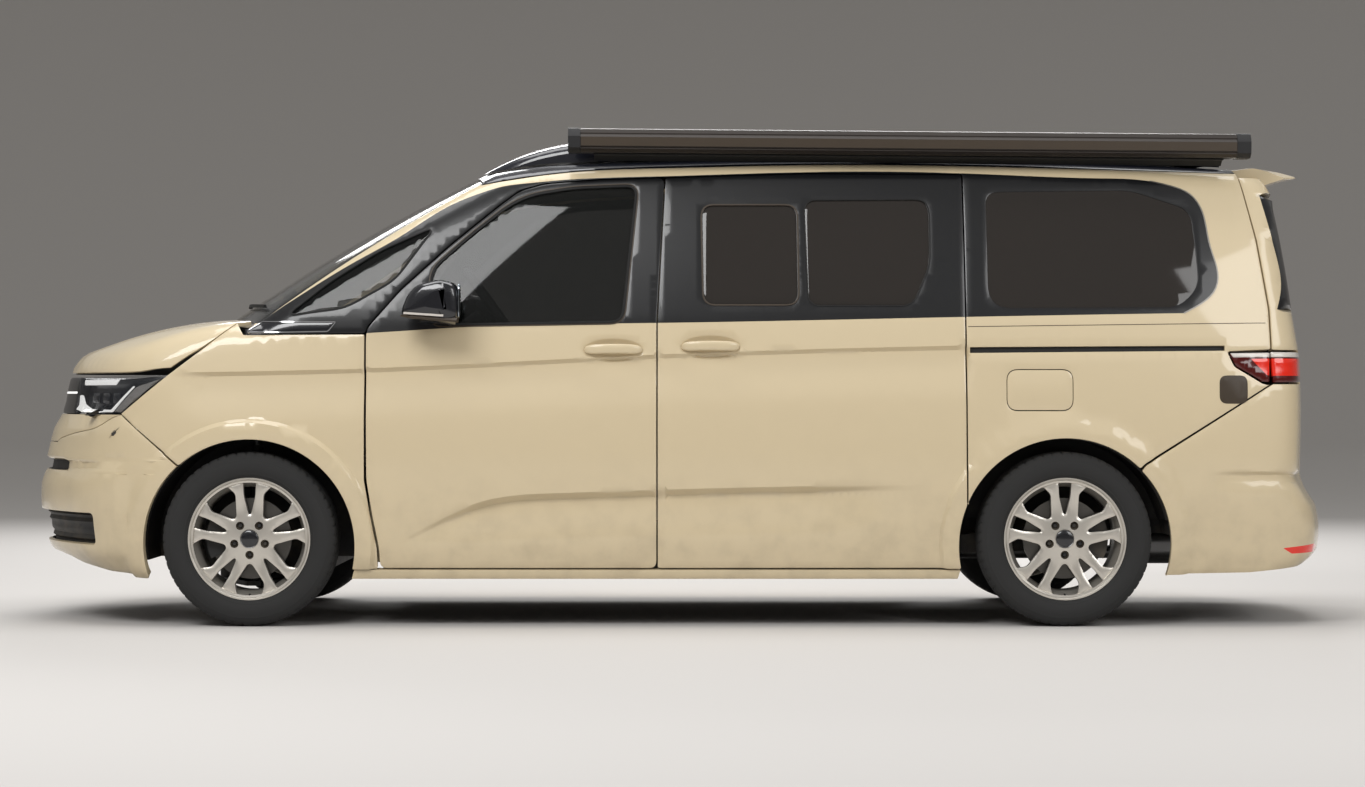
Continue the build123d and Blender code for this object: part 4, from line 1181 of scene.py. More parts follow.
def nose_relief(p: Array) -> Array:
    """Depth of the nose's crease and its slot, and of the panel that stands proud round the intake.

    The proud panel is a rectangle in the end view, with its edge a fixed distance outside it.
    """
    x, y, z = p.T
    slot = ramp(0.62 - np.abs(y), 0.0, 0.03) * ramp(z, 0.590, 0.600) * (1 - ramp(z, 0.632, 0.640))
    under = 0.634 - z
    crease = 0.016 * ramp(under, -0.001, 0.012) * (1 - ramp(under, 0.02, 0.10)) * ramp(-x, 2.19, 2.30)
    along = np.abs(NOSE_VIEW.flatten(p)[:, 0]) - 0.955
    apart = np.hypot(np.maximum(along, 0), np.maximum(np.abs(z - 0.430) - 0.145, 0))
    proud = (0.004 + 0.008 * ramp(np.abs(y), 0.60, 0.86)) * (1 - ramp(apart, 0.020, 0.034))
    band = np.hypot(x - FRONT_AXLE_X, z - ARCH_Z)
    flare = 0.014 * (1 - ramp(band, FLARE[0], FLARE[2])) * ramp(np.abs(y), 0.45, 0.70)
    return 0.030 * slot + crease * (1 - slot) - proud * (1 - slot) - flare


def rib_relief(p: Array) -> Array:
    """Level ribs of the lower intake, a cosine over z with a 31 mm pitch."""
    return 0.010 * (0.5 + 0.5 * np.cos(p[:, 2] * 2 * np.pi / 0.031))


def plate_relief(p: Array) -> Array:
    """The number plate's recess in the tailgate, and the crease above it."""
    x, y, z = p.T
    inside = ramp(0.30 - np.abs(y), 0, 0.02) * ramp(z, 0.675, 0.695) * (1 - ramp(z, 0.835, 0.855))
    return 0.028 * inside + flank_relief(p) * (1 - ramp(x, 2.50, 2.52))


@dataclass
class Body:
    """The painted body, its black window band and all its glass."""

    wall: float = 0.045
    door_wall: float = 0.055

    def side_to(self, view: View, points: Array) -> Array:
        """Side-view points on the left, laid flat in another view."""
        return view.flatten(LEFT_VIEW.raise_up(np.asarray(points, float)))

    def seam(self, points: Points, closed: bool = True, radius: float = 0.03) -> Array:
        """A seam in side view with eased corners."""
        return rounded(points, radius, closed=closed)

    def band(self) -> Array:
        """The closed outline of the black window band in side view."""
        return np.concatenate([curve(BAND_TOP), curve(BAND_BOTTOM)[::-1][1:]])

    def build(self) -> None:
        """Makes every panel and pane."""
        self.sides()
        self.ends()
        self.top()

    def lines(self) -> list[Array]:
        """Runs that the grid follows across the character line and the door's hollow."""
        character = curve(CHARACTER_LINE, 0.04)
        sculpt = curve(SCULPT_TOP, 0.03)
        lines = [character - (0, d) for d in (-0.002, 0.005, 0.013, 0.024, 0.045)]
        lines += [sculpt - (0, d) for d in (-0.004, 0.005, 0.014, 0.023, 0.045)]
        turn = np.radians(np.arange(-12, 193, 4))
        for axle_x in (FRONT_AXLE_X, REAR_AXLE_X):
            lines += [
                np.stack([axle_x + radius * np.cos(turn), ARCH_Z + radius * np.sin(turn)], axis=1)
                for radius in FLARE
            ]
        return lines

    def clipped(self, lines: Sequence[Array], loop: Array) -> list[Array]:
        """The stretches of lines that lie inside a loop, a little clear of it."""
        out = []
        inner = inset(loop, 0.008)
        for line in lines:
            inside = enclosed(line, inner)
            if inside.sum() > 2:
                first, last = np.flatnonzero(inside)[[0, -1]]
                out.append(line[first : last + 1])
        return out

    def sides(self) -> None:
        """Makes the doors, side frames, wings, sills and side glass."""
        band = self.band()
        lines = self.lines()
        door = inset(self.seam(FRONT_DOOR), HALF_GAP)
        glass = rounded(FRONT_GLASS, 0.05)
        sliding = [
            (-0.075, 0.220), *map(tuple, arch(REAR_AXLE_X, 193, 158)), (1.112, 0.470), (1.107, 1.185)
        ]
        sliding = self.seam(
            [*sliding, (1.106, 1.743), (0.500, 1.747), (-0.045, 1.731), (-0.075, 1.165)], radius=0.012
        )
        sliding = inset(sliding, HALF_GAP)
        panes = [rounded(outline, 0.045) for outline in (FRONT_SLIDING_GLASS, REAR_SLIDING_GLASS)]
        wing = self.seam(
            [(-1.945, 0.965), (-1.810, 1.067), (-1.690, 1.163), (-1.661, 1.116), (-1.196, 1.118),
             *[(x - 0.007, z) for x, z in FRONT_DOOR[1:5]], *map(tuple, arch(FRONT_AXLE_X, -13, 131)),
             (-2.136, 0.813)],
            radius=0.006,
        )
        sill = rounded([(-1.236, 0.216), (1.088, 0.216), (1.078, 0.182), (-1.246, 0.182)], 0.004)
        frame_loop, rear_glass, quarter_glass = self.side_frame_outline()
        for side in BOTH:
            name = side.word
            view = SideView(side)
            detail = dict(relief=flank_relief, view=view)
            shell = Panel(
                f"{name}_door_skin", outline=door, holes=[glass], finish=PAINT, inner=SOFT_TRIM,
                zones=[Zone(band, BAND)],
                lines=self.clipped(lines, door) + self.bowl(HANDLE_CENTRES[0]), thickness=self.door_wall,
                hem=True, **detail,
            ).build()
            settle(shell, f"{name}_door", "body_paint", f"{name}_front_door")
            door_pane = pane(f"{name}_door_pane", view, glass, TINTED, 0.006, 0.005)
            door_pane.fit(f"{name}_door", "screen_glass", f"{name}_door_window")
            slide = Panel(
                f"{name}_sliding_skin", outline=sliding, holes=panes, finish=PAINT, inner=SOFT_TRIM,
                zones=[Zone(band, BAND)],
                lines=self.clipped(lines, sliding) + self.bowl(HANDLE_CENTRES[1]), thickness=self.door_wall,
                hem=True, **detail,
            ).build()
            settle(slide, "body", "body_paint", f"{name}_sliding_door")
            for index, outline in enumerate(panes):
                sliding_pane = pane(f"{name}_sliding_pane_{index}", view, outline, PRIVACY)
                sliding_pane.fit("body", "side_glass", "side_windows")
            panel = Panel(
                f"{name}_wing", outline=wing, finish=PAINT, lines=self.clipped(lines, wing), thickness=0.02,
                **detail
            )
            panel.fit("body", "body_paint", "front_wings")
            Panel(f"{name}_sill", view, sill, PAINT, thickness=0.03, sunk=-0.004).fit("body", "body_paint")
            self.side_frame(side, frame_loop, rear_glass, quarter_glass)
            self.pillars(side)
        LOG.info("sides done")

    def bowl(self, centre: tuple[float, float]) -> list[Array]:
        """Closed rings of points that the grid follows in a handle bowl."""
        turn = np.linspace(0, 2 * np.pi, 41)
        return [
            np.stack(
                [centre[0] + 0.118 * r * np.cos(turn), centre[1] + 0.004 + 0.044 * r * np.sin(turn)], axis=1
            )
            for r in (1.04, 0.96, 0.85, 0.6, 0.3)
        ]

    def side_frame_outline(self) -> tuple[Array, Array, Array]:
        """The side frame's outline and its two panes, laid flat round the body."""
        edge = TopView().raise_up(curve(SCREEN_EDGE))
        rail = self.side_to(ROUND_VIEW, curve(RAIL_TOP))
        bumper_seam = [(2.277, 0.926), (1.789, 0.619)]
        openings = [
            *map(tuple, arch(REAR_AXLE_X, 45.5, 158)), (1.112, 0.470), (1.107, 1.185), (1.106, 1.743),
            (0.500, 1.747), *DOOR_TOP, (-1.641, 1.116),
        ]
        side = rounded([*TAIL_SEAM[:4], *TAIL_LAMP[1:4], *bumper_seam, *openings], 0.01, closed=False)
        loop = np.concatenate([ROUND_VIEW.flatten(edge), rail, self.side_to(ROUND_VIEW, side)])
        loop = inset(straight(np.concatenate([loop, loop[:1]]), 0.02)[:-1], HALF_GAP)
        panes = [
            self.side_to(ROUND_VIEW, rounded(outline, 0.05)) for outline in (REAR_SIDE_GLASS, QUARTER_GLASS)
        ]
        return loop, panes[0], panes[1]

    def side_frame(self, side: Side, loop: Array, rear_glass: Array, quarter_glass: Array) -> None:
        """Makes one side frame with its panes, mirrored for the right."""
        view = round_view(side)
        name = side.word
        band = self.side_to(ROUND_VIEW, self.band())
        slot = self.side_to(
            ROUND_VIEW, rounded([(1.122, 1.047), (2.100, 1.056), (2.100, 1.076), (1.122, 1.070)], 0.004)
        )
        holes = [rear_glass, quarter_glass, slot]
        zones = [Zone(band, BAND)]
        if side is Side.LEFT:
            flap = self.side_to(ROUND_VIEW, rounded(box_outline(1.389, 0.905, 0.256, 0.161), 0.045))
            holes.append(flap)
            Panel(
                "fuel_flap", view, inset(flap, 0.003), PAINT, thickness=0.02, spacing=0.03
            ).fit("body", "body_paint")
            socket = self.side_to(ROUND_VIEW, rounded(box_outline(2.131, 0.907, 0.108, 0.108), 0.03))
            Panel(
                "socket_flap", view, socket, UMBER_TRIM, thickness=0.02, sunk=-0.004, spacing=0.03,
                edge_round=0.003
            ).fit("body", "trim_plastic")
            backing = Panel(
                "fuel_flap_well", view, inset(flap, -0.006), SEAL, thickness=0.01, sunk=0.012, spacing=0.04
            )
            backing.fit("body", "black_plastic")
        panel = Panel(
            f"{name}_side_skin", view, loop, PAINT, INSIDE_SHADE, holes, zones, thickness=self.wall,
            relief=flank_relief,
        )
        panel.fit("body", "body_paint", f"{name}_side_frame")
        Panel(
            f"{name}_slide_rail", view, inset(slot, -0.004), STEEL, thickness=0.01, sunk=0.016, spacing=0.04
        ).fit("body", "chassis_steel")
        pane(f"{name}_rear_pane", view, rear_glass, PRIVACY).fit("body", "side_glass")
        pane(f"{name}_quarter_pane", view, quarter_glass, TINTED, sunk=0.004).fit("body", "side_glass")

    def pillars(self, side: Side) -> None:
        """Makes the pillar between the doors and the one that carries the front door."""
        view = SideView(side)
        name = side.word
        outlines = {
            "centre_pillar": [(-0.135, 0.225), (-0.015, 0.225), (-0.015, 1.725), (-0.125, 1.715)],
            "hinge_pillar": [
                (-1.180, 0.225), (-1.075, 0.225), (-1.100, 0.560), (-1.110, 1.105), (-1.185, 1.105)
            ],
        }
        for part, outline in outlines.items():
            panel = Panel(
                f"{name}_{part}", view, rounded(outline, 0.01), PAINT, INSIDE_SHADE, thickness=0.045, sunk=0.068,
                spacing=0.05
            )
            panel.fit("body", "body_paint")

    def ends(self) -> None:
        """Makes the bumpers, lamps' frames, grille and tailgate."""
        self.nose()
        self.tail()
        LOG.info("ends done")

    def loop_across(self, half: Array) -> Array:
        """A closed loop from its left half, which runs from the centreline to the centreline."""
        return np.concatenate([half, mirror_end(half)[::-1]])

    def nose(self) -> None:
        """Makes the front bumper with its intake, and the painted mask between it and the lamps."""
        seam = self.side_to(
            NOSE_VIEW,
            curve([(-2.136, 0.811), (-2.178, 0.797), (-2.237, 0.765), (-2.331, 0.743), (-2.440, 0.716)])
        )
        seam = np.concatenate([seam, across_line(seam[-1, 0] + 0.04, 0.0, 0.702)])
        left = self.side_to(
            NOSE_VIEW,
            rounded(
                [
                    (-2.136, 0.811), (-1.9066, 0.613), *map(tuple, arch(FRONT_AXLE_X, 132, 197)),
                    (-2.035, 0.190), (-2.200, 0.200), (-2.330, 0.226), (-2.430, 0.262)
                ],
                0.006, closed=False
            )
        )
        half = np.concatenate([seam[::-1], left[1:], across_line(left[-1][0] + 0.12, 0.0, 0.268)])
        whole = np.concatenate(
            [across_line(seam[0, 0] + 0.02, -seam[0, 0] - 0.02, 0.812), mirror_end(seam), seam[::-1]]
        )
        Panel(
            "nose_mask", NOSE_VIEW, inset(whole, 0.0015), PAINT, INSIDE_SHADE, thickness=0.012, spacing=0.03
        ).fit("body", "body_paint")
        reach = float(self.side_to(NOSE_VIEW, np.array([(-2.246, 0.432), (-2.240, 0.312)]))[:, 0].mean())
        mouth = rounded([(reach, 0.432), (-reach, 0.432), (-reach, 0.309), (reach, 0.309)], 0.02)
        bumper = Panel(
            "front_bumper_skin", NOSE_VIEW, inset(self.loop_across(half), 0.0015), PAINT, INSIDE_SHADE, [mouth], [
                Zone(
                    rounded([(-0.60, 0.594), (0.60, 0.594), (0.60, 0.636), (-0.60, 0.636)], 0.01), GRAINED
                ),
            ],
            [straight([(-1.15, z), (1.15, z)], 0.05) for z in (0.645, 0.638, 0.632, 0.600, 0.592, 0.585)],
            thickness=0.012, relief=nose_relief, spacing=0.022,
        )
        bumper.fit("body", "body_paint", "front_bumper")
        grille = Panel(
            "lower_grille", NOSE_VIEW, inset(mouth, -0.012), GRAINED, thickness=0.012, sunk=0.020,
            relief=rib_relief, spacing=0.012
        )
        grille.fit("body", "black_plastic", "front_grille")

    def tail(self) -> None:
        """Makes the tailgate, its glass and the rear bumper."""
        down = self.side_to(TAIL_VIEW, rounded([(2.184, 1.735), *TAIL_SEAM[1:4]], 0.01, closed=False))
        lamp_end = -0.545
        half = np.concatenate([
            across_line(down[0][0] + 0.02, 0.0, 1.735)[::-1], down,
            straight(
                [
                    (down[-1][0] + 0.02, 1.057), (lamp_end, 1.057), (lamp_end, 0.80),
                    (lamp_end + 0.02, 0.588)
                ],
                0.03
            ),
            across_line(lamp_end + 0.05, 0.0, 0.588),
        ])
        window = rounded(
            [(-0.66, 1.190), (0.66, 1.190), (0.60, 1.600), (0.50, 1.650), (-0.50, 1.650), (-0.60, 1.600)],
            0.06
        )
        wrap = self.side_to(
            TAIL_VIEW, curve([(2.262, 1.662), (2.318, 1.430), (2.333, 1.310), (2.310, 1.216)])
        )
        dark = np.concatenate([wrap, mirror_end(wrap)[::-1]])
        outline = inset(self.loop_across(half), HALF_GAP)
        plate = rounded([(-0.30, 0.680), (0.30, 0.680), (0.30, 0.850), (-0.30, 0.850)], 0.015)
        gate = Panel(
            "tailgate_skin", TAIL_VIEW, outline, PAINT, SOFT_TRIM, [window],
            [Zone(dark, BAND), Zone(plate, GRAINED)],
            thickness=0.045, relief=plate_relief,
        )
        gate.fit("tailgate", "body_paint", "tailgate")
        rear_pane = pane("tailgate_pane", TAIL_VIEW, window, PRIVACY, 0.006, 0.002)
        rear_pane.fit("tailgate", "side_glass", "rear_window")
        seam = self.side_to(
            TAIL_VIEW,
            rounded(
                [
                    (2.285, 0.929), (2.250, 0.908), (1.792, 0.617),
                    *map(tuple, arch(REAR_AXLE_X, 44.5, -17)), (1.880, 0.198), (2.200, 0.203),
                    (2.440, 0.226)
                ],
                0.006, closed=False
            )
        )
        corner = straight(
            [
                (lamp_end + 0.02, 0.584), (lamp_end - 0.004, 0.80), (lamp_end - 0.004, 0.929),
                (seam[0, 0] + 0.02, 0.929)
            ],
            0.03
        )
        half = np.concatenate(
            [
                across_line(lamp_end + 0.05, 0.0, 0.584)[::-1], corner, seam,
                across_line(seam[-1][0] + 0.08, 0.0, 0.228)
            ]
        )
        reflector = self.side_to(
            TAIL_VIEW,
            rounded([(2.330, 0.298), (2.365, 0.276), (2.47, 0.280), (2.492, 0.300), (2.47, 0.312)], 0.006)
        )
        others = mirror_end(reflector)
        # The reflectors take the glowing red, which is painted light on them
        bumper = Panel(
            "rear_bumper_skin", TAIL_VIEW, inset(self.loop_across(half), 0.0015), PAINT, INSIDE_SHADE, [],
            [Zone(reflector, RED), Zone(others, RED)],
            [straight([(-1.1, z), (1.1, z)], 0.05) for z in (0.594, 0.588, 0.580, 0.57, 0.55)],
            thickness=0.012, relief=flank_relief,
        )
        bumper.fit("body", "body_paint", "rear_bumper")

    def top(self) -> None:
        """Makes the bonnet, windscreen and roof."""
        top = TopView()
        seam = self.side_to(top, curve([(-1.940, 0.968), (-1.810, 1.067), (-1.694, 1.163)]))
        front = top.flatten(
            NOSE_VIEW.raise_up(
                across_line(self.side_to(NOSE_VIEW, np.array([(-1.955, 0.972)]))[0][0] + 0.01, 0.0, 0.966)
            )
        )
        y = np.linspace(-0.80, 0.0, 30)
        rear = np.stack([-1.806 + 0.257 * y**2, y], axis=1)
        half = np.concatenate([front[::-1], seam, rear])
        loop = inset(np.concatenate([half, mirrored(half)[::-1][1:-1]]), HALF_GAP)
        bonnet = Panel("bonnet_skin", top, loop, PAINT, INSIDE_SHADE, thickness=0.014, relief=bonnet_relief)
        bonnet.fit("bonnet", "body_paint", "bonnet")
        edge = curve(SCREEN_EDGE)
        y = np.linspace(-0.70, 0.0, 24)
        head = np.stack([-0.815 + 0.11 * y**2, y], axis=1)
        y = np.linspace(0.0, -0.845, 24)
        foot = np.stack([-1.793 + 0.235 * y**2, y], axis=1)
        half = np.concatenate([foot, edge, head])
        loop = np.concatenate([half, mirrored(half)[::-1][1:-1]])
        screen = Panel("windscreen_pane", top, loop, SCREEN, SCREEN, thickness=0.006, sunk=0.003)
        screen.fit("body", "screen_glass", "windscreen")
        rail = ROUND_VIEW.raise_up(self.side_to(ROUND_VIEW, curve(RAIL_TOP)))
        y = np.linspace(-0.70, 0.0, 24)
        head = np.stack([-0.811 + 0.11 * y[::-1] ** 2, y[::-1]], axis=1)
        half = np.concatenate([head, rail[:, :2] * (1, 0.998), [(2.178, rail[-1, 1] + 0.01), (2.178, 0.0)]])
        loop = straight(np.concatenate([half, mirrored(half)[::-1][1:-1], half[:1]]), 0.03)[:-1]
        hatch = rounded([(-0.25, -0.43), (1.25, -0.43), (1.25, 0.43), (-0.25, 0.43)], 0.03)
        roof = Panel(
            "roof_skin", top, inset(loop, 0.002), ROOF, PALE_TRIM, [hatch], thickness=0.035, spacing=0.05
        )
        roof.fit("body", "roof_paint", "roof_frame")
        LOG.info("top done")


def bonnet_relief(p: Array) -> Array:
    """Two long soft folds that run from the screen to the lamps, as a shallow dish between them."""
    x, y, _ = p.T
    fold = 0.50 - 0.10 * ramp(-x, 1.9, 2.4)
    return 0.006 * (1 - ramp(np.abs(y), fold - 0.08, fold + 0.02)) * (1 - ramp(-x, 2.25, 2.45))


@dataclass(frozen=True)
class MirroredView(View):
    """Another view seen on the vehicle's right.

    Attributes:
        left: the view on the left.
    """

    left: View = ROUND_VIEW

    def ray(self, flat: Array) -> tuple[Array, Array]:
        """The left view's rays with y turned round."""
        origin, direction = self.left.ray(flat)
        return origin * (1, -1, 1), direction * (1, -1, 1)

    def flatten(self, p: Array) -> Array:
        """The left view of the mirrored points."""
        return self.left.flatten(p * (1, -1, 1))


def across_line(start: float, end: float, z: float) -> Array:
    """A level run in an end view between two arc lengths."""
    return straight([(start, z), (end, z)], 0.03)


def mirror_end(loop: Array) -> Array:
    """An end view's loop on the other side."""
    return loop * (-1, 1)


def end_loop(loop: Array, side: Side) -> Array:
    """A left end-view loop, turned over for the right side."""
    return loop if side is Side.LEFT else mirror_end(loop)


def round_view(side: Side) -> View:
    """The view round one side of the body."""
    return ROUND_VIEW if side is Side.LEFT else MirroredView(ROUND_VIEW)


def box_outline(x: float, z: float, width: float, height: float) -> list[tuple[float, float]]:
    """The corners of an upright rectangle about its centre."""
    w, h = width / 2, height / 2
    return [(x - w, z - h), (x + w, z - h), (x + w, z + h), (x - w, z + h)]


@dataclass(frozen=True)
class WheelView(View):
    """The face of a wheel, with flat places as (forwards, up) from its axis.

    Attributes:
        centre: the wheel's centre.
        side: which side of the vehicle it is on.
        face: height of the cast face outboard of the centre plane, at radii in metres.
    """

    centre: tuple[float, float, float]
    side: Side
    face: Points = (
        (0.0, 0.090), (0.06, 0.084), (0.12, 0.081), (0.17, 0.086), (0.206, 0.088), (0.24, 0.086)
    )

    def raise_up(self, flat: Array) -> Array:
        """Points on the cast face, a height that depends on the radius."""
        radii, heights = np.array(self.face).T
        height = Spline(radii, heights)(np.hypot(*flat.T))
        x, y, z = self.centre
        return np.stack([x + flat[:, 0], y + self.side.value * height, z + flat[:, 1]], axis=1)

    def outwards(self, p: Array) -> Array:
        """Straight outboard."""
        return np.tile((0.0, float(self.side.value), 0.0), (len(p), 1))


def polar(points: Points, middle: float) -> Array:
    """A loop symmetric about a direction, from (radius, half angle in degrees) on one side."""
    at = np.array(points)
    turn = np.radians(np.concatenate([middle + at[:, 1], middle - at[::-1, 1]]))
    radius = np.concatenate([at[:, 0], at[::-1, 0]])
    return rounded(np.stack([radius * np.cos(turn), radius * np.sin(turn)], axis=1), 0.012, 0.008)


def circle(x: float, z: float, radius: float, steps: int = 32) -> Array:
    """A round loop."""
    turn = np.linspace(0, 2 * np.pi, steps, endpoint=False)
    return np.stack([x + radius * np.cos(turn), z + radius * np.sin(turn)], axis=1)


@dataclass
class Wheel:
    """A tyre on a cast wheel with five flared pairs of spokes.

    Attributes:
        axle: front or rear.
        side: side of the vehicle.
    """

    axle: str
    side: Side
    centre_y: float = 0.835
    tyre_r: float = 0.335
    wide_opening: Points = ((0.097, 5.0), (0.150, 15.5), (0.180, 18.6), (0.2185, 13.0), (0.2215, 6.0))
    slot_opening: Points = ((0.094, 3.2), (0.130, 6.2), (0.165, 7.8), (0.2235, 6.6))
    stud_circle_r: float = 0.0615
    barrel: Points = (
        (0.216, 0.091), (0.2338, 0.095), (0.2345, 0.099), (0.229, 0.0992), (0.225, 0.096), (0.2215, 0.087),
        (0.214, 0.070), (0.204, 0.050), (0.198, 0.030), (0.199, 0.015), (0.199, -0.078), (0.209, -0.092),
        (0.226, -0.099), (0.234, -0.099), (0.234, -0.095), (0.216, -0.091),
    )

    def build(self) -> None:
        """Makes the tyre, the rim, its cap and bolts."""
        x = FRONT_AXLE_X if self.axle == "front" else REAR_AXLE_X
        self.centre = (x, self.side.value * self.centre_y, self.tyre_r)
        self.stem = f"{self.axle}_{self.side.word}"
        self.body = f"{self.stem}_wheel"
        self.tyre()
        self.rim()
        LOG.info("wheel %s", self.stem)

    def add(
        self, part: str, profile: Array, finish: Finish, slot: str, centre: Optional[tuple] = None,
        steps: int = 96
    ) -> bpy.types.Object:
        """Makes a turned piece of the wheel."""
        verts, faces = ring(profile, centre or self.centre, self.side.value, steps)
        return settle(solid(f"{self.stem}_{part}", verts, faces, finish), self.body, slot)

    def tyre(self) -> None:
        """Makes the tyre: a bulged wall, a crowned tread with four grooves, and shoulder slots.

        The wall's width is an arc over the radius with two fine ribs. The slots lower the
        radius near the shoulders where a cosine of the angle is high.
        """
        radius = np.linspace(0.2355, 0.319, 42)
        width = arc_value(radius, (0.234, 0.095), (0.276, 0.115), (0.320, 0.103))
        for rib, size in ((0.247, 0.0014), (0.302, 0.0012)):
            width = width + size * np.exp(-(((radius - rib) / 0.0016) ** 2))
        wall = np.stack([radius, width], axis=1)
        half = [
            (0.216, 0.091), (0.234, 0.095), *wall.tolist(), (0.3262, 0.0985), (0.3305, 0.0915),
            (0.3325, 0.078)
        ]
        for groove in (0.054, 0.019):
            top, floor = self.tyre_r - 0.0004 * (groove / 0.03) ** 2, 0.3275
            half += [
                (top, groove + 0.0055), (floor, groove + 0.004), (floor, groove - 0.004),
                (top, groove - 0.0055)
            ]
        half += [(self.tyre_r, 0.007)]
        half = np.array(half)
        profile = np.concatenate([half, half[::-1] * (1, -1)])
        steps = 336
        turn = np.linspace(0, 2 * np.pi, steps, endpoint=False)[:, None]
        near = ramp(np.abs(profile[:, 1]), 0.056, 0.064) * ramp(profile[:, 0], 0.318, 0.3255)
        wave = np.cos(turn * 56 + np.sign(profile[:, 1]) * 1.3 + profile[:, 1] * 30)
        radius = profile[:, 0] - 0.0045 * near * ramp(wave, 0.72, 0.9)
        x = self.centre[0] + np.cos(turn) * radius
        z = self.centre[2] + np.sin(turn) * radius
        y = np.broadcast_to(self.centre[1] + self.side.value * profile[:, 1], x.shape)
        verts = np.stack([x, y, z], axis=-1).reshape(-1, 3)
        faces = grid_faces(steps, len(profile), True, True)
        obj = solid(f"{self.stem}_tyre_tread", verts, faces, RUBBER, 32)
        settle(obj, self.body, "tyre_rubber", f"{self.stem}_tyre")

    def bolts(self) -> list[tuple[float, float]]:
        """Flat places of the five bolts, between the pairs."""
        turns = np.radians(126 + 72 * np.arange(5))
        return [(self.stud_circle_r * math.cos(t), self.stud_circle_r * math.sin(t)) for t in turns]

    def relief(self, p: Array) -> Array:
        """Depth of the bolt recesses, the cap's seat and a chamfer along the spokes' outer ends."""
        flat = p[:, [0, 2]] - (self.centre[0], self.centre[2])
        depth = np.zeros(len(p))
        for x, z in self.bolts():
            depth += 0.016 * (1 - ramp(np.hypot(flat[:, 0] - x, flat[:, 1] - z), 0.0125, 0.0165))
        radius = np.hypot(*flat.T)
        return depth + 0.006 * (1 - ramp(radius, 0.0335, 0.0355)) + 0.006 * ramp(radius, 0.212, 0.226)

    def rim(self) -> None:
        """Makes the cast face, the barrel, a blank cap and the bolts."""
        pairs = 90 + 72 * np.arange(5)
        holes = [polar(self.slot_opening, turn) for turn in pairs] + [
            polar(self.wide_opening, turn + 36) for turn in pairs
        ]
        # Painted shade: the bolt recesses and the back of the face take a darker grey
        zones = [Zone(circle(x, z, 0.0162, 24), ALLOY_SHADE) for x, z in self.bolts()]
        rings = [
            np.concatenate([loop, loop[:1]])
            for loop in (circle(0, 0, 0.0335, 40), circle(0, 0, 0.0362, 40))
        ]
        rings += [circle(x, z, 0.0122, 20) for x, z in self.bolts()]
        face = Panel(
            f"{self.stem}_cast_face", WheelView(self.centre, self.side), circle(0, 0, 0.2272, 120), ALLOY,
            ALLOY_SHADE,
            holes, zones, rings, thickness=0.034, spacing=0.009, relief=self.relief, edge_round=0.0028,
        )
        face.fit(self.body, "rim_alloy", f"{self.stem}_rim")
        self.add("barrel", np.array(self.barrel), ALLOY, "rim_alloy")
        cap = np.array(
            [
                (0.0004, 0.0895), (0.018, 0.0892), (0.029, 0.0878), (0.0325, 0.0855), (0.0328, 0.080),
                (0.0004, 0.080)
            ]
        )
        self.add("cap", cap, GLOSS_BLACK, "black_plastic", steps=48)
        lip = np.array(
            [(0.0326, 0.0862), (0.0336, 0.0868), (0.0344, 0.0858), (0.0344, 0.080), (0.0326, 0.080)]
        )
        self.add("cap_ring", lip, BRIGHT, "rim_alloy", steps=48)
        head = np.array(
            [
                (0.0004, 0.0765), (0.006, 0.0765), (0.0085, 0.0745), (0.0098, 0.068), (0.0118, 0.066),
                (0.0118, 0.060), (0.0004, 0.060)
            ]
        )
        x, y, z = self.centre
        for index, (dx, dz) in enumerate(self.bolts()):
            self.add(f"bolt_{index}", head, STEEL, "chassis_steel", (x + dx, y, z + dz), 6 * 4)
        valve = np.array([(0.0004, 0.092), (0.003, 0.092), (0.0035, 0.072), (0.0004, 0.072)])
        self.add("valve", valve, SEAL, "tyre_rubber", (x + 0.214 * math.cos(-1.57), y, z - 0.2135), 16)


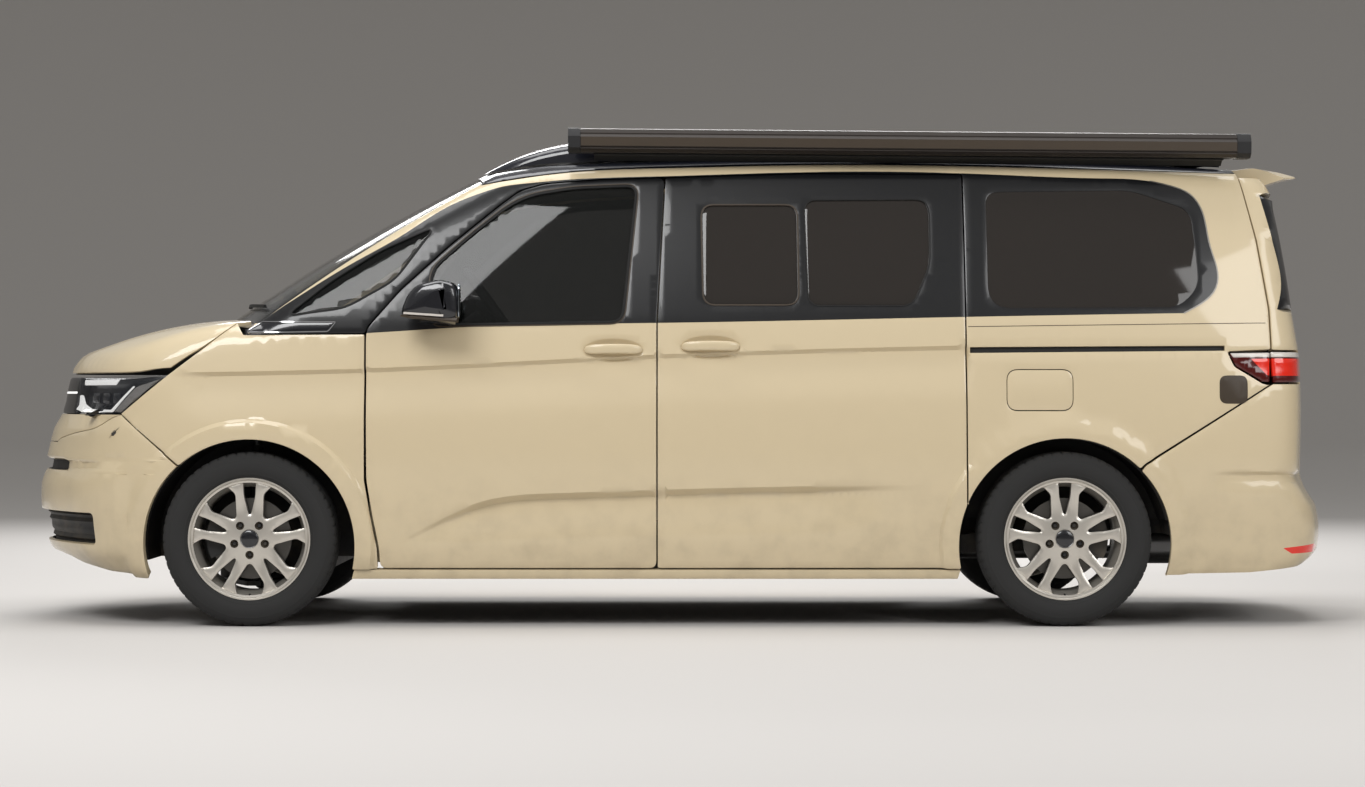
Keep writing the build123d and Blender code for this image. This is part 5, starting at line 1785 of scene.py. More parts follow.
@dataclass
class Lamps:
    """Headlamps, tail lamps and reflectors."""

    def to_nose(self, points: Points, radius: float = 0.006) -> Array:
        """A closed side-view outline with eased corners, laid flat round the nose."""
        return NOSE_VIEW.flatten(LEFT_VIEW.raise_up(rounded(points, radius, 0.012)))

    def build(self) -> None:
        """Makes the lamps on both sides."""
        inner = -0.60
        rear = NOSE_VIEW.flatten(LEFT_VIEW.raise_up(straight([(-2.141, 0.8155), (-1.950, 0.9645)], 0.02)))
        top = np.stack([np.linspace(rear[-1, 0] + 0.02, inner, 24), np.linspace(0.9635, 0.957, 24)], axis=1)
        foot = np.stack([np.linspace(inner, rear[0, 0] + 0.02, 24), np.full(24, 0.8155)], axis=1)
        lens = np.concatenate([rear, top, foot])
        strip = straight(
            [
                (inner + 0.004, 0.8155), (-inner - 0.004, 0.8155), (-inner - 0.004, 0.957),
                (inner + 0.004, 0.957), (inner + 0.004, 0.8155)
            ],
            0.04
        )[:-1]
        nose = Panel(
            "nose_strip", NOSE_VIEW, strip, BAND, GRAINED, thickness=0.02, sunk=0.003, spacing=0.03,
            edge_round=0.003
        )
        nose.fit("body", "black_gloss")
        bar = Panel(
            "nose_light_bar", NOSE_VIEW,
            rounded(
                [(inner + 0.02, 0.900), (-0.085, 0.900), (-0.085, 0.892), (inner + 0.02, 0.892)], 0.003
            ),
            LIGHT_GUIDE, thickness=0.004, sunk=0.0015, spacing=0.03
        )
        for side in BOTH:
            name = side.word
            parts = (
                ("headlamp_bucket", lens, BAND, 0.045, 0.006, "black_plastic"),
                (
                    "headlamp_upper_guide",
                    self.to_nose(
                        [(-2.345, 0.950), (-2.345, 0.926), (-2.176, 0.926), (-2.157, 0.950)], 0.004
                    ),
                    LIGHT_GUIDE, 0.012, 0.006, "lamp_lens"
                ),
                ("headlamp_lower_guide", self.to_nose([
                    (-2.394, 0.889), (-2.392, 0.860), (-2.358, 0.820), (-2.190, 0.819), (-2.086, 0.920),
                    (-2.093, 0.924),
                    (-2.196, 0.831), (-2.296, 0.834), (-2.336, 0.853), (-2.352, 0.889),
                ]), LIGHT_GUIDE, 0.012, 0.006, "lamp_lens"),
                (
                    "headlamp_flasher",
                    self.to_nose([(-2.082, 0.9205), (-1.976, 0.953), (-2.150, 0.819), (-2.184, 0.822)]),
                    AMBER_LENS, 0.014, 0.006, "lamp_lens"
                ),
                ("headlamp_lens", lens, CLEAR_LENS, 0.0, 0.004, "lamp_lens"),
            )
            for part, loop, finish, sunk, thickness, slot in parts:
                relief = flasher_relief if part == "headlamp_flasher" else plain
                panel = Panel(
                    f"{name}_{part}", NOSE_VIEW, end_loop(inset(loop, 0.0015), side), finish, finish,
                    thickness=thickness, sunk=sunk, spacing=0.014 if relief is not plain else 0.025,
                    relief=relief
                )
                nodes = ("headlamps",) if part == "headlamp_lens" else ()
                panel.fit("body", slot, *nodes)
            self.projectors(side)
            self.tail(side)
        for loop, name in ((bar.outline, "left"), (mirror_end(bar.outline), "right")):
            Panel(
                f"{name}_nose_light_bar", NOSE_VIEW, loop, LIGHT_GUIDE, thickness=0.004, sunk=0.0012,
                spacing=0.03
            ).fit("body", "lamp_lens")

    def projectors(self, side: Side) -> None:
        """Makes three square projector lenses in each headlamp."""
        for index, x in enumerate((-2.300, -2.245, -2.190)):
            loop = self.to_nose(box_outline(x, 0.878, 0.038, 0.040), 0.008)
            loop = end_loop(loop, side)
            panel = Panel(
                f"{side.word}_projector_{index}", NOSE_VIEW, loop, GLOSS_BLACK, thickness=0.01,
                sunk=0.030, spacing=0.01, edge_round=0.004
            )
            panel.fit("body", "black_gloss")

    def tail(self, side: Side) -> None:
        """Makes one tail lamp: a fixed part and the part on the tailgate."""
        name = side.word
        outline = self.to_round(
            [(2.275, 1.0505), (2.116, 1.048), (2.140, 0.998), (2.248, 0.9355), (2.2725, 0.9355)]
        )
        clear = self.to_round([(2.29, 1.0505), (2.119, 1.0475), (2.132, 1.0305), (2.29, 1.0315)], 0.002)
        red = self.to_round([(2.200, 1.024), (2.29, 1.026), (2.29, 0.962), (2.262, 0.962)], 0.004)
        view = round_view(side)
        lamp = Panel(
            f"{name}_tail_lens", view, inset(outline, 0.0015), DARK_RED, DARK_RED, (),
            [Zone(clear, PEARL_LENS), Zone(red, RED)],
            thickness=0.02, spacing=0.012, sunk=-0.002, relief=lamp_relief, edge_round=0.003,
        )
        lamp.fit("body", "red_lens", *(("tail_lamps",) if side is Side.LEFT else ()))
        edge = TAIL_VIEW.flatten(LEFT_VIEW.raise_up(straight([(2.287, 0.9355), (2.287, 1.0505)], 0.02)))
        start, end = edge[0, 0], -0.548
        loop = straight(
            [(start, 0.9355), (start, 1.0505), (end, 1.0505), (end, 0.9355), (start, 0.9355)], 0.02
        )[:-1]
        clear = rounded(
            [(start - 0.01, 1.0505), (end + 0.01, 1.0505), (end + 0.01, 1.0315), (start - 0.01, 1.0315)],
            0.002
        )
        red = rounded(
            [
                (start - 0.01, 1.026), (end - 0.004, 1.026), (end - 0.006, 0.985), (end - 0.05, 0.960),
                (start - 0.01, 0.960)
            ],
            0.003
        )
        lamp = Panel(
            f"{name}_tailgate_lens", TAIL_VIEW, end_loop(loop, side), DARK_RED, DARK_RED, (),
            [Zone(end_loop(clear, side), PEARL_LENS), Zone(end_loop(red, side), RED)],
            thickness=0.02, spacing=0.012, sunk=-0.002, relief=lamp_relief, edge_round=0.003,
        )
        lamp.fit("tailgate", "red_lens", *(("tailgate_lamps",) if side is Side.LEFT else ()))

    def to_round(self, points: Points, radius: float = 0.008) -> Array:
        """A closed side-view outline with eased corners, laid flat round the body."""
        return ROUND_VIEW.flatten(LEFT_VIEW.raise_up(rounded(points, radius, 0.012)))


def flasher_relief(p: Array) -> Array:
    """Slanted ribs of the flasher's lens."""
    return 0.004 * (0.5 + 0.5 * np.sign(np.sin((p[:, 0] - p[:, 2]) * 2 * np.pi / 0.020)))


def lamp_relief(p: Array) -> Array:
    """A step between the lamp's clear strip and its red part."""
    return 0.003 * (
        1 - ramp(np.abs(p[:, 2] - 1.0285), 0.0015, 0.0035)
    ) + 0.0015 * ramp(1.02 - p[:, 2], 0, 0.02)


@dataclass
class Fittings:
    """Handles, mirrors, trims, the spoiler, the awning and other fittings outside."""

    def build(self) -> None:
        """Makes the fittings."""
        for side in BOTH:
            self.handles(side)
            self.mirror(side)
            self.trims(side)
        self.spoiler()
        self.awning()
        self.wipers()
        LOG.info("fittings done")

    def on_side(self, side: Side, points: Array) -> Array:
        """Points on the flank over side-view places."""
        return SideView(side).raise_up(np.asarray(points, float))

    def handles(self, side: Side) -> None:
        """Makes the door handles: an arched bar whose section swells in the middle."""
        for (x, z), body, door in zip(
            HANDLE_CENTRES, (f"{side.word}_door", "body"), ("door", "sliding")
        ):
            t = np.linspace(-1, 1, 41)
            path = self.on_side(side, np.stack([x + 0.112 * t, z + 0.009 - 0.004 * t * t], axis=1))
            lift = 0.004 + 0.019 * (1 - np.abs(t) ** 3)
            path[:, 1] = side.value * (np.abs(path[:, 1]) + lift - 0.004)
            size = np.sqrt(np.clip(1 - (np.abs(t) / 1.0) ** 7, 0.0, 1))[:, None, None]
            turn = np.linspace(0, 2 * np.pi, 28, endpoint=False)
            square = np.sign(
                np.cos(turn)
            ) * np.abs(np.cos(turn)) ** 0.75, np.sign(np.sin(turn)) * np.abs(np.sin(turn)) ** 0.75
            section = np.stack(
                [0.010 * square[0], 0.0185 * square[1]], axis=1
            )[None] * np.maximum(size, 0.08)
            verts, faces = carried(section, path, (0, 0, 1))
            obj = solid(f"{side.word}_{door}_handle", verts, faces, PAINT)
            settle(obj, body, "body_paint")

    def mirror(self, side: Side) -> None:
        """Makes a mirror: a shell lofted outwards, a light strip, a foot and a glass.

        The shell's sections are rounded polygons in side view that shrink and move with the
        square of the way out.
        """
        s = side.value
        body, name = f"{side.word}_door", side.word
        outline = rounded(
            [
                (-1.050, 1.196), (-1.022, 1.268), (-0.985, 1.305), (-0.900, 1.326), (-0.835, 1.310),
                (-0.822, 1.262), (-0.822, 1.175), (-0.860, 1.166), (-1.020, 1.186)
            ],
            0.03, 0.012
        )
        centre = np.array([-0.925, 1.248])
        rows = []
        for out, size, back in (
            (0.990, 0.80, 0.012), (0.996, 0.93, 0.006), (1.010, 0.99, 0.0), (1.050, 1.0, 0.0),
            (1.090, 0.985, 0.004), (1.112, 0.93, 0.012), (1.122, 0.80, 0.022), (1.1255, 0.5, 0.035)
        ):
            loop = centre + (outline - centre) * size
            loop[:, 0] = np.where(loop[:, 0] > -0.90, np.minimum(loop[:, 0], -0.826), loop[:, 0] + back)
            rows.append(np.stack([loop[:, 0], np.full(len(loop), s * out), loop[:, 1]], axis=1))
        faces = bar_faces(len(rows), len(outline), turned=True)
        shell = solid(f"{name}_mirror_shell", np.concatenate(rows), faces, GLOSS_BLACK, 50)
        settle(shell, body, "black_gloss", f"{name}_mirror")
        strip = np.stack(
            [np.linspace(-1.045, -0.830, 24), np.full(24, s * 1.06), np.linspace(1.186, 1.168, 24)], axis=1
        )
        profile = np.array(
            [
                (-0.052, -0.006), (0.052, -0.006), (0.056, 0.0), (0.052, 0.010), (-0.052, 0.010),
                (-0.056, 0.0)
            ]
        )
        taper = np.minimum(1, 0.35 + 4 * np.linspace(0, 1, 24))[:, None, None]
        verts, faces = carried(profile[None] * taper, strip, (0, 0, 1))
        settle(solid(f"{name}_mirror_lower", verts, faces, UMBER_TRIM), body, "black_plastic")
        lit = np.stack(
            [np.linspace(-1.030, -0.880, 12), np.full(12, s * 1.1195), np.linspace(1.196, 1.186, 12)],
            axis=1
        )
        verts, faces = carried(
            np.array([(-0.004, -0.004), (0.004, -0.004), (0.004, 0.004), (-0.004, 0.004)]), lit, (0, 0, 1)
        )
        settle(solid(f"{name}_mirror_flasher", verts, faces, PEARL_LENS), body, "lamp_lens")
        glass = centre + (outline - centre) * 0.86
        x = np.full(len(glass), -0.8215)
        across = s * (1.058 + (glass[:, 0] - centre[0]) * 0.50)
        front = np.stack([x, across, glass[:, 1]], axis=1)
        verts = np.concatenate([front, front - (0.004, 0, 0)])
        faces = bar_faces(2, len(glass), turned=True)
        mirror_glass = solid(f"{name}_mirror_glass", verts, faces, MIRROR_GLASS)
        settle(mirror_glass, body, "black_gloss")
        foot = np.array([(-0.990, 1.176), (-0.960, 1.176), (-0.880, 1.170), (-0.850, 1.168)])
        root = self.on_side(side, curve(foot, 0.01) - (0, 0.006))
        tip = root + (0.01, 0, 0.0)
        tip[:, 1] = s * 1.012
        tip[:, 2] += 0.012
        verts = np.concatenate(
            [root - (0, 0, 0.012), root + (0, 0, 0.012), tip + (0, 0, 0.012), tip - (0, 0, 0.010)]
        )
        count = len(root)
        faces = grid_faces(4, count, True, False).tolist()
        faces += [[r * count for r in range(4)], [r * count + count - 1 for r in range(4)][::-1]]
        settle(solid(f"{name}_mirror_foot", verts, faces, GLOSS_BLACK), body, "black_gloss")

    def strip(
        self, name: str, side: Side, loop: Array, finish: Finish, slot: str, body: str,
        width: float = 0.006, proud: float = 0.002, closed: bool = True
    ) -> None:
        """Makes a strip that lies on the flank along a line in side view."""
        path = self.on_side(side, loop)
        half = width / 2
        profile = np.array([(-half, -0.004), (half, -0.004), (half * 0.8, proud), (-half * 0.8, proud)])
        normal = SKIN.outwards(path)
        tangent = np.roll(
            path, -1, axis=0
        ) - np.roll(path, 1, axis=0) if closed else np.gradient(path, axis=0)
        across = np.cross(tangent, normal)
        across /= np.linalg.norm(across, axis=1, keepdims=True)
        verts = path[:, None] + profile[
            None, :, :1
        ] * across[:, None] + profile[None, :, 1:] * normal[:, None]
        faces = bar_faces(len(path), len(profile), closed)
        settle(solid(f"{side.word}_{name}", verts.reshape(-1, 3), faces, finish), body, slot)

    def trims(self, side: Side) -> None:
        """Makes window seals, the umber trim of the door window and the blank badge strip."""
        door = f"{side.word}_door"
        glass = rounded(FRONT_GLASS, 0.05)
        self.strip("door_window_seal", side, inset(glass, 0.003), SEAL, "black_plastic", door, 0.010, 0.003)
        self.strip(
            "door_window_trim", side, inset(glass, -0.005), UMBER_TRIM, "trim_plastic", door, 0.006, 0.002
        )
        self.strip(
            "front_sliding_trim", side, inset(rounded(FRONT_SLIDING_GLASS, 0.045), -0.004), UMBER_TRIM,
            "trim_plastic", "body", 0.007, 0.003
        )
        self.strip(
            "rear_sliding_trim", side, inset(rounded(REAR_SLIDING_GLASS, 0.045), -0.003), SEAL,
            "black_plastic", "body", 0.006, 0.002
        )
        self.strip(
            "quarter_seal", side, rounded(QUARTER_GLASS, 0.05), SEAL, "black_plastic", "body", 0.008, 0.002
        )
        edge = curve(BAND_TOP[13:], 0.02)
        self.strip("band_edge", side, edge, SATIN, "bright_steel", "body", 0.006, 0.002, closed=False)
        self.strip(
            "waist_line", side, straight([(1.116, 1.148), (2.262, 1.163)], 0.03), UMBER_TRIM,
            "trim_plastic", "body", 0.003, 0.0006, closed=False
        )
        badge = [(-1.640, 1.135), (-1.590, 1.166), (-1.305, 1.166), (-1.335, 1.129), (-1.645, 1.124)]
        self.strip(
            "badge_frame", side, rounded(badge, 0.008, 0.012), CHROME, "bright_steel", "body", 0.005, 0.004
        )
        view = SideView(side)
        plate = Panel(
            f"{side.word}_badge_strip", view, inset(rounded(badge, 0.008, 0.012), 0.001),
            GLOSS_BLACK, thickness=0.006, sunk=-0.002, spacing=0.02
        )
        plate.fit("body", "black_gloss")

    def spoiler(self) -> None:
        """Makes the roof spoiler: a wing section whose chord moves by the square of y."""
        section = rounded(
            [
                (2.205, 1.788), (2.300, 1.800), (2.400, 1.783), (2.468, 1.7645), (2.471, 1.757),
                (2.395, 1.741), (2.330, 1.728), (2.240, 1.752)
            ],
            0.012, 0.02
        )
        y = np.linspace(-0.640, 0.640, 41)
        share = y[:, None] ** 2
        end = ramp(np.abs(y), 0.54, 0.64)[:, None]
        x = section[:, 0] - 0.110 * share - 0.05 * end * ramp(section[:, 0], 2.30, 2.47)
        z = section[:, 1] - 0.066 * share
        verts = np.stack([x, np.broadcast_to(y[:, None], x.shape), z], axis=-1)
        faces = bar_faces(len(y), len(section), turned=True)
        spoiler = solid("roof_spoiler", verts.reshape(-1, 3), faces, PAINT)
        settle(spoiler, "tailgate", "body_paint")
        lamp = straight([(-0.16, 1.760), (0.16, 1.760)], 0.02)
        path = np.stack([2.4705 - 0.110 * lamp[:, 0] ** 2, lamp[:, 0], np.full(len(lamp), 1.7605)], axis=1)
        verts, faces = carried(
            np.array([(-0.002, -0.0035), (0.002, -0.0035), (0.002, 0.0035), (-0.002, 0.0035)]), path,
            (0, 0, 1)
        )
        settle(solid("high_brake_lamp", verts, faces, DARK_RED), "tailgate", "red_lens")

    def awning(self) -> None:
        """Makes the awning: an extruded case with a front panel, a lip, end caps and a gasket."""
        x0, length, fall = -0.421, 2.640, math.tan(math.radians(0.5))
        case = np.array([
            (-0.704, 1.908), (-0.738, 1.922), (-0.800, 1.9175), (-0.812, 1.9145), (-0.8215, 1.9000),
            (-0.8205, 1.8960), (-0.8300, 1.8840),
            (-0.8290, 1.8470), (-0.8230, 1.8430), (-0.8235, 1.8390), (-0.8050, 1.8265), (-0.7600, 1.8250),
            (-0.7580, 1.8285), (-0.712, 1.826),
        ])
        cap = np.array([
            (-0.704, 1.909), (-0.730, 1.9215), (-0.742, 1.9238), (-0.798, 1.9192), (-0.812, 1.9160),
            (-0.824, 1.9000), (-0.8315, 1.886), (-0.8290, 1.8420),
            (-0.8190, 1.8345), (-0.803, 1.8245), (-0.712, 1.8245),
        ])
        self.extrusion(
            "awning_case", case, x0 + 0.05, x0 + length - 0.055, fall, x0, ANODISED, "dark_anodised",
            "awning"
        )
        for name, start, end in (
            ("front", x0 + 0.0015, x0 + 0.0495), ("rear", x0 + length - 0.0545, x0 + length - 0.0015)
        ):
            self.extrusion(f"awning_{name}_cap", cap, start, end, fall, x0, GRAINED, "black_plastic")
        lip = np.array([(-0.8265, 1.8835), (-0.8312, 1.8835), (-0.8312, 1.8495), (-0.8265, 1.8495)])
        self.extrusion(
            "awning_lead_rail", lip, x0 + 0.052, x0 + length - 0.057, fall, x0, UMBER_TRIM, "dark_anodised"
        )
        gasket = np.array(
            [
                (-0.700, 1.836), (-0.742, 1.8235), (-0.775, 1.8235), (-0.775, 1.8195), (-0.735, 1.8185),
                (-0.700, 1.800)
            ]
        )
        self.extrusion(
            "awning_gasket", gasket, x0 + 0.10, x0 + length - 0.10, fall, x0, SEAL, "black_plastic"
        )

    def extrusion(
        self, name: str, profile: Array, start: float, end: float, fall: float, x0: float, finish: Finish,
        slot: str, *nodes: str
    ) -> None:
        """Makes a profile in (y, z) drawn along x that drops by fall for each metre past x0."""
        at = np.linspace(start, end, 12)
        verts = np.stack(
            np.broadcast_arrays(
                at[:, None], profile[None, :, 0], profile[None, :, 1] - fall * (at[:, None] - x0)
            ),
            axis=-1
        )
        faces = bar_faces(len(at), len(profile), turned=True)
        case = solid(name, verts.reshape(-1, 3), faces, finish, 25)
        settle(case, "body", slot, *nodes)

    def wipers(self) -> None:
        """Makes two wipers that lie at the foot of the windscreen."""
        for name, y0, y1 in (("left", -0.10, -0.72), ("right", 0.56, -0.02)):
            y = np.linspace(y0, y1, 24)
            flat = np.stack([-1.735 + 0.235 * y**2 + 0.02 * np.abs(y - y0), y], axis=1)
            path = TopView().raise_up(flat) + (0, 0, 0.010)
            section = np.array([(-0.007, -0.006), (0.007, -0.006), (0.004, 0.007), (-0.004, 0.007)])
            verts, faces = carried(section, path, (0, 0, 1))
            settle(solid(f"{name}_wiper_blade", verts, faces, SEAL), "body", "black_plastic")


@dataclass
class Cushion:
    """A foam cushion under cloth, swollen by a cloth simulation.

    Attributes:
        name: the piece's name.
        outline: its side view.
        y: where its middle is.
        half: its half width.
        finish: its cover.
        shrink: how much smaller the block starts than its space.
        cap: the furthest that a point may move.
        seams: distances from its middle at which it is sewn along its length.
    """

    name: str
    outline: Points
    y: float
    half: float
    finish: Finish
    shrink: float = 0.014
    cap: float = 0.022
    seams: Sequence[float] = (-0.150, 0.150)
    voxel: float = 0.012
    steps: int = 20

    def block(self) -> bpy.types.Object:
        """The starting block: the outline drawn across and closed."""
        loop = rounded(inset(np.array(self.outline), self.shrink), 0.03, 0.03)
        half = self.half - self.shrink
        rows = [
            np.stack([loop[:, 0], np.full(len(loop), self.y + side * half), loop[:, 1]], axis=1)
            for side in (-1, 1)
        ]
        faces = bar_faces(2, len(loop), turned=True)
        return solid(self.name, np.concatenate(rows), faces, self.finish, 180)

    def baked(self, obj: bpy.types.Object) -> Array:
        """The evaluated points of an object with its modifiers."""
        graph = bpy.context.evaluated_depsgraph_get()
        mesh = obj.evaluated_get(graph).data
        at = np.empty(len(mesh.vertices) * 3)
        mesh.vertices.foreach_get("co", at)
        return at.reshape(-1, 3)

    def remesh(self, obj: bpy.types.Object) -> None:
        """Gives the block an even fine mesh."""
        obj.modifiers.new("voxels", "REMESH").voxel_size = self.voxel
        graph = bpy.context.evaluated_depsgraph_get()
        mesh = bpy.data.meshes.new_from_object(obj.evaluated_get(graph))
        mesh.name = self.name
        obj.modifiers.clear()
        obj.data = mesh
        if not mesh.materials:
            mesh.materials.append(self.finish.build())
        mesh.polygons.foreach_set("use_smooth", np.ones(len(mesh.polygons), bool))

    def swell(self, obj: bpy.types.Object) -> Array:
        """Blows the cloth up from inside for a few frames, and caps how far each point moves."""
        start = self.baked(obj)
        cloth = obj.modifiers.new("cover", "CLOTH")
        cloth.settings.use_pressure = True
        cloth.settings.uniform_pressure_force = 4.0
        cloth.settings.effector_weights.gravity = 0.0
        cloth.settings.quality = 4
        cloth.point_cache.frame_start, cloth.point_cache.frame_end = 1, self.steps
        for step in range(1, self.steps + 1):
            bpy.context.scene.frame_set(step)
        moved = self.baked(obj) - start
        obj.modifiers.clear()
        length = np.maximum(np.linalg.norm(moved, axis=1, keepdims=True), 1e-9)
        return start + moved * np.minimum(1, self.cap / length)

    def stitched(self, obj: bpy.types.Object, at: Array) -> Array:
        """The points drawn in along the sewn seams, with a fine puckered edge beside each."""
        normals = np.empty(len(at) * 3)
        obj.data.vertices.foreach_get("normal", normals)
        depth = np.zeros(len(at))
        for seam in self.seams:
            depth += 0.012 * np.exp(-(((at[:, 1] - self.y - seam) / 0.011) ** 2))
        pucker = 0.0015 * np.sin(at[:, 0] * 90) * np.sin(at[:, 2] * 70)
        return at - normals.reshape(-1, 3) * (depth * (1 + 0.2 * np.sin(at[:, 0] * 150)) + pucker)[:, None]

    def build(self, body: str, *nodes: str) -> bpy.types.Object:
        """Makes the cushion and lets it ride on a body."""
        obj = self.block()
        self.remesh(obj)
        at = self.swell(obj)
        obj.data.vertices.foreach_set("co", self.stitched(obj, at).ravel())
        obj.data.update()
        smooth = obj.modifiers.new("smooth", "SUBSURF")
        smooth.levels = smooth.render_levels = 1
        settle(obj, body, "seat_fabric", *nodes)
        return obj


@dataclass
class Cabin:
    """Seats, bench, steering wheel trim, screens and the kitchen's fronts."""

    seat_y: float = 0.420
    cushion: Points = ((-0.585, 0.735), (-0.598, 0.800), (-0.560, 0.848), (-0.100, 0.815), (-0.065, 0.737))
    back: Points = ((-0.094, 0.822), (0.028, 1.398), (0.060, 1.413), (0.126, 1.393), (0.048, 0.822))
    headrest: Points = ((0.063, 1.422), (0.079, 1.578), (0.158, 1.573), (0.149, 1.417))
    bench_cushion: Points = ((0.852, 0.702), (0.847, 0.800), (0.880, 0.848), (1.340, 0.824), (1.345, 0.702))
    bench_back: Points = (
        (1.352, 0.835), (1.420, 1.368), (1.450, 1.383), (1.528, 1.368), (1.462, 0.765), (1.368, 0.765)
    )

    def build(self) -> None:
        """Makes the pieces inside."""
        for side in BOTH:
            y = side.value * self.seat_y
            name = side.word
            first = side is Side.LEFT
            Cushion(
                f"{name}_seat_cushion", self.cushion, y, 0.253, FABRIC
            ).build("body", *(("front_seats",) if first else ()))
            Cushion(f"{name}_seat_back", self.back, y, 0.243, FABRIC, seams=(-0.145, 0.145)).build("body")
            Cushion(
                f"{name}_headrest", self.headrest, y, 0.128, FABRIC, seams=(), voxel=0.009, cap=0.012,
                shrink=0.008
            ).build("body")
            self.seat_base(name, y)
        for index, y in enumerate((-0.145, 0.345)):
            nodes = ("rear_bench",) if index == 0 else ()
            Cushion(f"bench_cushion_{index}", self.bench_cushion, y, 0.243, FABRIC).build("body", *nodes)
            Cushion(f"bench_back_{index}", self.bench_back, y, 0.243, FABRIC).build("body")
        settle(
            self.box("bench_base", (0.89, -0.34, 0.405), (1.31, 0.54, 0.700), BOARD), "body",
            "furniture_board"
        )
        self.kitchen()
        self.instruments()
        bpy.context.scene.frame_set(1)
        LOG.info("cabin done")

    def box(
        self, name: str, low: Sequence[float], high: Sequence[float], finish: Finish, ease: float = 0.006
    ) -> bpy.types.Object:
        """Makes a box between two corners with rounded edges."""
        corners = np.array(
            [(x, y, z) for x in (low[0], high[0]) for y in (low[1], high[1]) for z in (low[2], high[2])]
        )
        faces = [[0, 1, 3, 2], [4, 6, 7, 5], [0, 4, 5, 1], [2, 3, 7, 6], [0, 2, 6, 4], [1, 5, 7, 3]]
        obj = solid(name, corners, faces, finish)
        bevel = obj.modifiers.new("edges", "BEVEL")
        bevel.width, bevel.segments = ease, 3
        return obj

    def seat_base(self, name: str, y: float) -> None:
        """Makes a seat's pedestal and the posts of its headrest."""
        base = self.box(
            f"{name}_seat_pedestal", (-0.54, y - 0.19, 0.405), (-0.12, y + 0.19, 0.735), GRAINED, 0.02
        )
        settle(base, "body", "black_plastic")
        for index, offset in enumerate((-0.045, 0.045)):
            path = np.array(
                [(0.098, y + offset, 1.385), (0.104, y + offset, 1.41), (0.107, y + offset, 1.44)]
            )
            turn = np.linspace(0, 2 * np.pi, 12, endpoint=False)
            verts, faces = carried(0.0055 * np.stack([np.cos(turn), np.sin(turn)], axis=1), path, (1, 0, 0))
            settle(solid(f"{name}_headrest_post_{index}", verts, faces, BRIGHT), "body", "bright_steel")

    def kitchen(self) -> None:
        """Makes the doors and drawers of the kitchen unit, with a gap round each."""
        fronts = (
            (0.165, 0.60, 0.44, 0.74), (0.61, 1.04, 0.44, 0.74), (0.165, 0.60, 0.75, 1.13),
            (0.61, 1.04, 0.75, 0.93), (0.61, 1.04, 0.94, 1.13), (1.06, 1.89, 0.75, 1.13)
        )
        for index, (x0, x1, z0, z1) in enumerate(fronts):
            front = self.box(f"kitchen_front_{index}", (x0, -0.441, z0), (x1, -0.428, z1), BOARD, 0.003)
            settle(front, "body", "furniture_board")
            grip = self.box(
                f"kitchen_grip_{index}", ((x0 + x1) / 2 - 0.06, -0.429, z1 - 0.035),
                ((x0 + x1) / 2 + 0.06, -0.424, z1 - 0.020), SATIN, 0.002
            )
            settle(grip, "body", "bright_steel")
        top = self.box("worktop", (0.148, -0.846, 1.158), (1.902, -0.424, 1.172), STEEL, 0.004)
        settle(top, "body", "furniture_board")

    def instruments(self) -> None:
        """Makes the screens on the dashboard and the mirror on the windscreen."""
        screen = self.box(
            "centre_screen", (-1.000, -0.13, 1.165), (-0.978, 0.15, 1.325), GLOSS_BLACK, 0.006
        )
        settle(screen, "body", "black_gloss")
        cluster = self.box(
            "driver_display", (-1.010, -0.56, 1.175), (-0.990, -0.29, 1.275), GLOSS_BLACK, 0.006
        )
        settle(cluster, "body", "black_gloss")
        glass = self.box("inner_mirror", (-0.890, -0.12, 1.578), (-0.868, 0.12, 1.642), GLOSS_BLACK, 0.010)
        settle(glass, "body", "black_gloss")


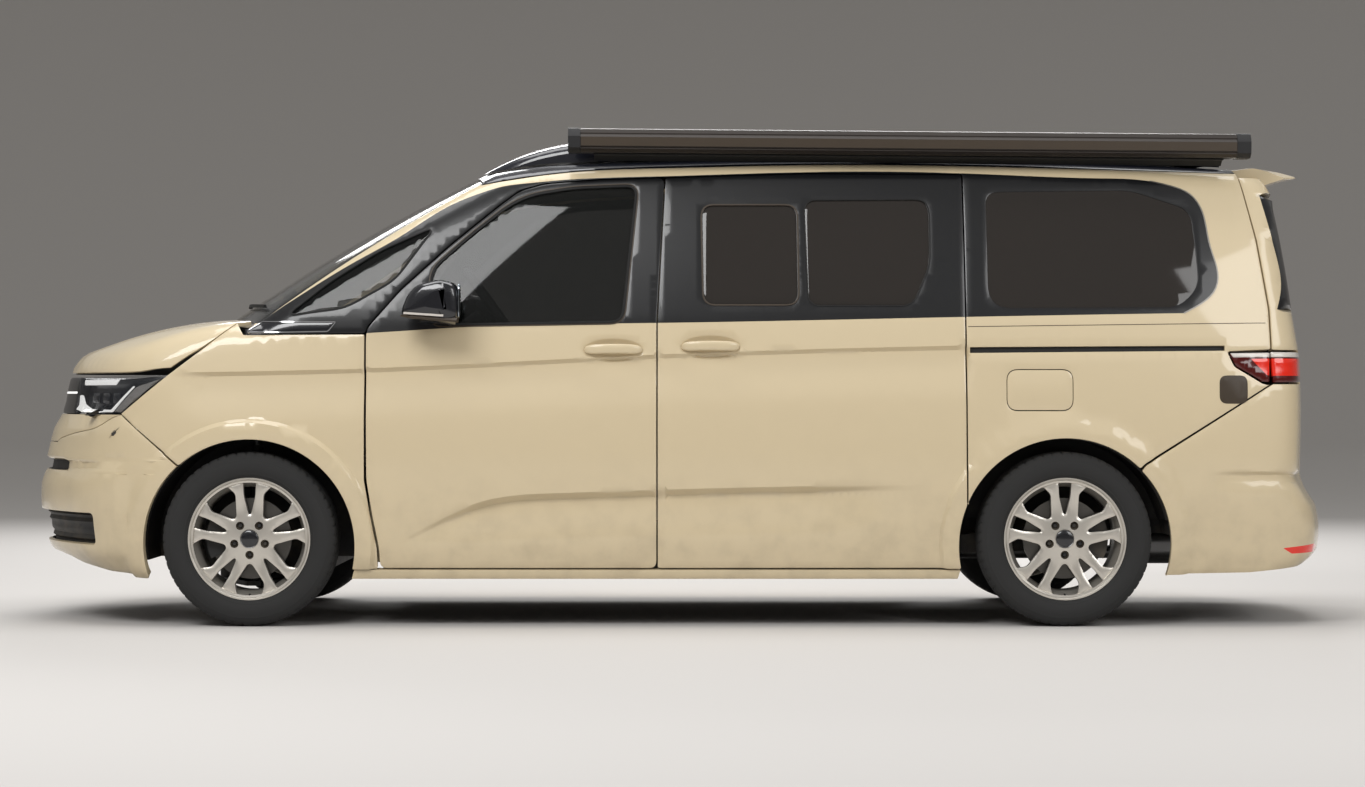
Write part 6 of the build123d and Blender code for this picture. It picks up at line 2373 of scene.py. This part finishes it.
@dataclass
class Studio:
    """Floor, light and camera.

    The camera stands where the photographer stood: level with the door handles, fourteen
    metres to the left, with a long lens.
    """

    camera_at: tuple[float, float, float] = (0.0225, -14.0, 0.892)
    lens: float = 90.04
    sensor: float = 36.0

    def build(self) -> None:
        """Makes the floor, the lights, the world and the camera."""
        scene = bpy.context.scene
        scene.view_settings.view_transform = "Standard"
        self.camera(scene)
        self.floor()
        self.lights(scene)

    def camera(self, scene: bpy.types.Scene) -> None:
        """Makes the camera, looking along +Y and level."""
        data = bpy.data.cameras.new("camera")
        data.lens = self.lens
        data.sensor_width = self.sensor
        data.clip_end = 200.0
        obj = bpy.data.objects.new("camera", data)
        obj.location = self.camera_at
        obj.rotation_euler = (math.pi / 2, 0.0, 0.0)
        scene.collection.objects.link(obj)
        scene.camera = obj

    def floor(self) -> None:
        """Makes a plain pale dish: flat under the vehicle, and curving up far away all round it.

        The rim is a quarter of an ellipse over the radius, so cameras on every side stand in it.
        """
        flat_r, rim_run, rim_rise, steps = 44.0, 16.0, 12.0, 96
        turn = np.linspace(0, math.pi / 2, 17)
        radius = np.concatenate([[12.0, 28.0], flat_r + rim_run * np.sin(turn)])
        height = np.concatenate([[0.0, 0.0], rim_rise * (1 - np.cos(turn))])
        around = np.linspace(0, 2 * np.pi, steps, endpoint=False)
        x, y = (radius[:, None] * wave(around) for wave in (np.cos, np.sin))
        verts = np.stack([x, y, np.broadcast_to(height[:, None], x.shape)], axis=-1).reshape(-1, 3)
        faces = grid_faces(len(radius), steps, False, True)[:, ::-1].tolist() + [list(range(steps))]
        mesh = bpy.data.meshes.new("floor")
        mesh.from_pydata(verts.tolist(), [], faces)
        mesh.polygons.foreach_set("use_smooth", np.ones(len(mesh.polygons), bool))
        obj = bpy.data.objects.new("floor", mesh)
        bpy.context.scene.collection.objects.link(obj)
        graph = Graph("studio_floor")
        graph.feed(graph.surface, Base_Color=linear("#c8c5c2"), Roughness=0.9)
        mesh.materials.append(graph.material)

    def lights(self, scene: bpy.types.Scene) -> None:
        """Makes large soft lamps overhead and at the sides, and a pale world."""
        world = bpy.data.worlds.new("studio_world")
        scene.world = world
        world.use_nodes = True
        background = world.node_tree.nodes["Background"]
        background.inputs[0].default_value = linear("#e6e4e1")
        background.inputs[1].default_value = 0.42
        lamps = (
            ("key", (-3.5, -7.0, 6.5), (5.0, 3.0), 420.0),
            ("fill", (5.5, -6.0, 4.0), (4.0, 3.0), 160.0),
            ("overhead", (0.0, 0.0, 7.5), (8.0, 4.0), 380.0),
            ("far", (0.0, 8.0, 5.0), (7.0, 3.0), 520.0),
        )
        for name, place, size, power in lamps:
            data = bpy.data.lights.new(name, "AREA")
            data.shape = "RECTANGLE"
            data.size, data.size_y = size
            data.energy = power
            obj = bpy.data.objects.new(name, data)
            obj.location = place
            aim = Vector((0.0, 0.0, 0.8)) - Vector(place)
            obj.rotation_euler = aim.to_track_quat("-Z", "Y").to_euler()
            scene.collection.objects.link(obj)


FRAME_FINISHES = {
    PAINT: (
        "left_side_frame right_side_frame left_front_door right_front_door left_sliding_door "
        "right_sliding_door front_wings bonnet front_bumper rear_bumper tailgate roof_frame"
    ),
    GLOSS_BLACK: "left_mirror right_mirror",
    ROOF: "pop_roof",
    ANODISED: "awning",
    GRAINED: "front_grille wheelhouses firewall fuel_tank",
    SOFT_TRIM: "dashboard steering_wheel",
    STEEL: "front_subframe rear_axle left_knuckle right_knuckle",
    BRIGHT: "strut_rods exhaust",
    CASTING: "engine",
    UNDERSEAL: "floor_pan",
    FABRIC: "front_seats rear_bench",
    BOARD: "kitchen_unit",
    PRIVACY: "side_windows rear_window",
    TINTED: "left_door_window right_door_window",
    SCREEN: "windscreen",
    PEARL_LENS: "headlamps",
    RED: "tail_lamps tailgate_lamps",
}


def dress_frame() -> None:
    """Gives every CAD node the finish that the real piece has."""
    dressed = {name: finish for finish, names in FRAME_FINISHES.items() for name in names.split()}
    for axle in ("front", "rear"):
        for side in BOTH:
            stem = f"{axle}_{side.word}"
            dressed |= {f"{stem}_tyre": RUBBER, f"{stem}_rim": ALLOY, f"{stem}_disc": IRON}
    for name, finish in dressed.items():
        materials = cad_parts[name].data.materials
        materials.clear()
        materials.append(finish.build())


def main() -> None:
    """Builds the scene, and logs as each part of it is done."""
    logging.basicConfig(level=logging.INFO, format="%(asctime)s %(message)s")
    Studio().build()
    dress_frame()
    Body().build()
    Lamps().build()
    Fittings().build()
    Cabin().build()
    for axle in ("front", "rear"):
        for side in BOTH:
            Wheel(axle, side).build()


if __name__ == "__main__":
    main()
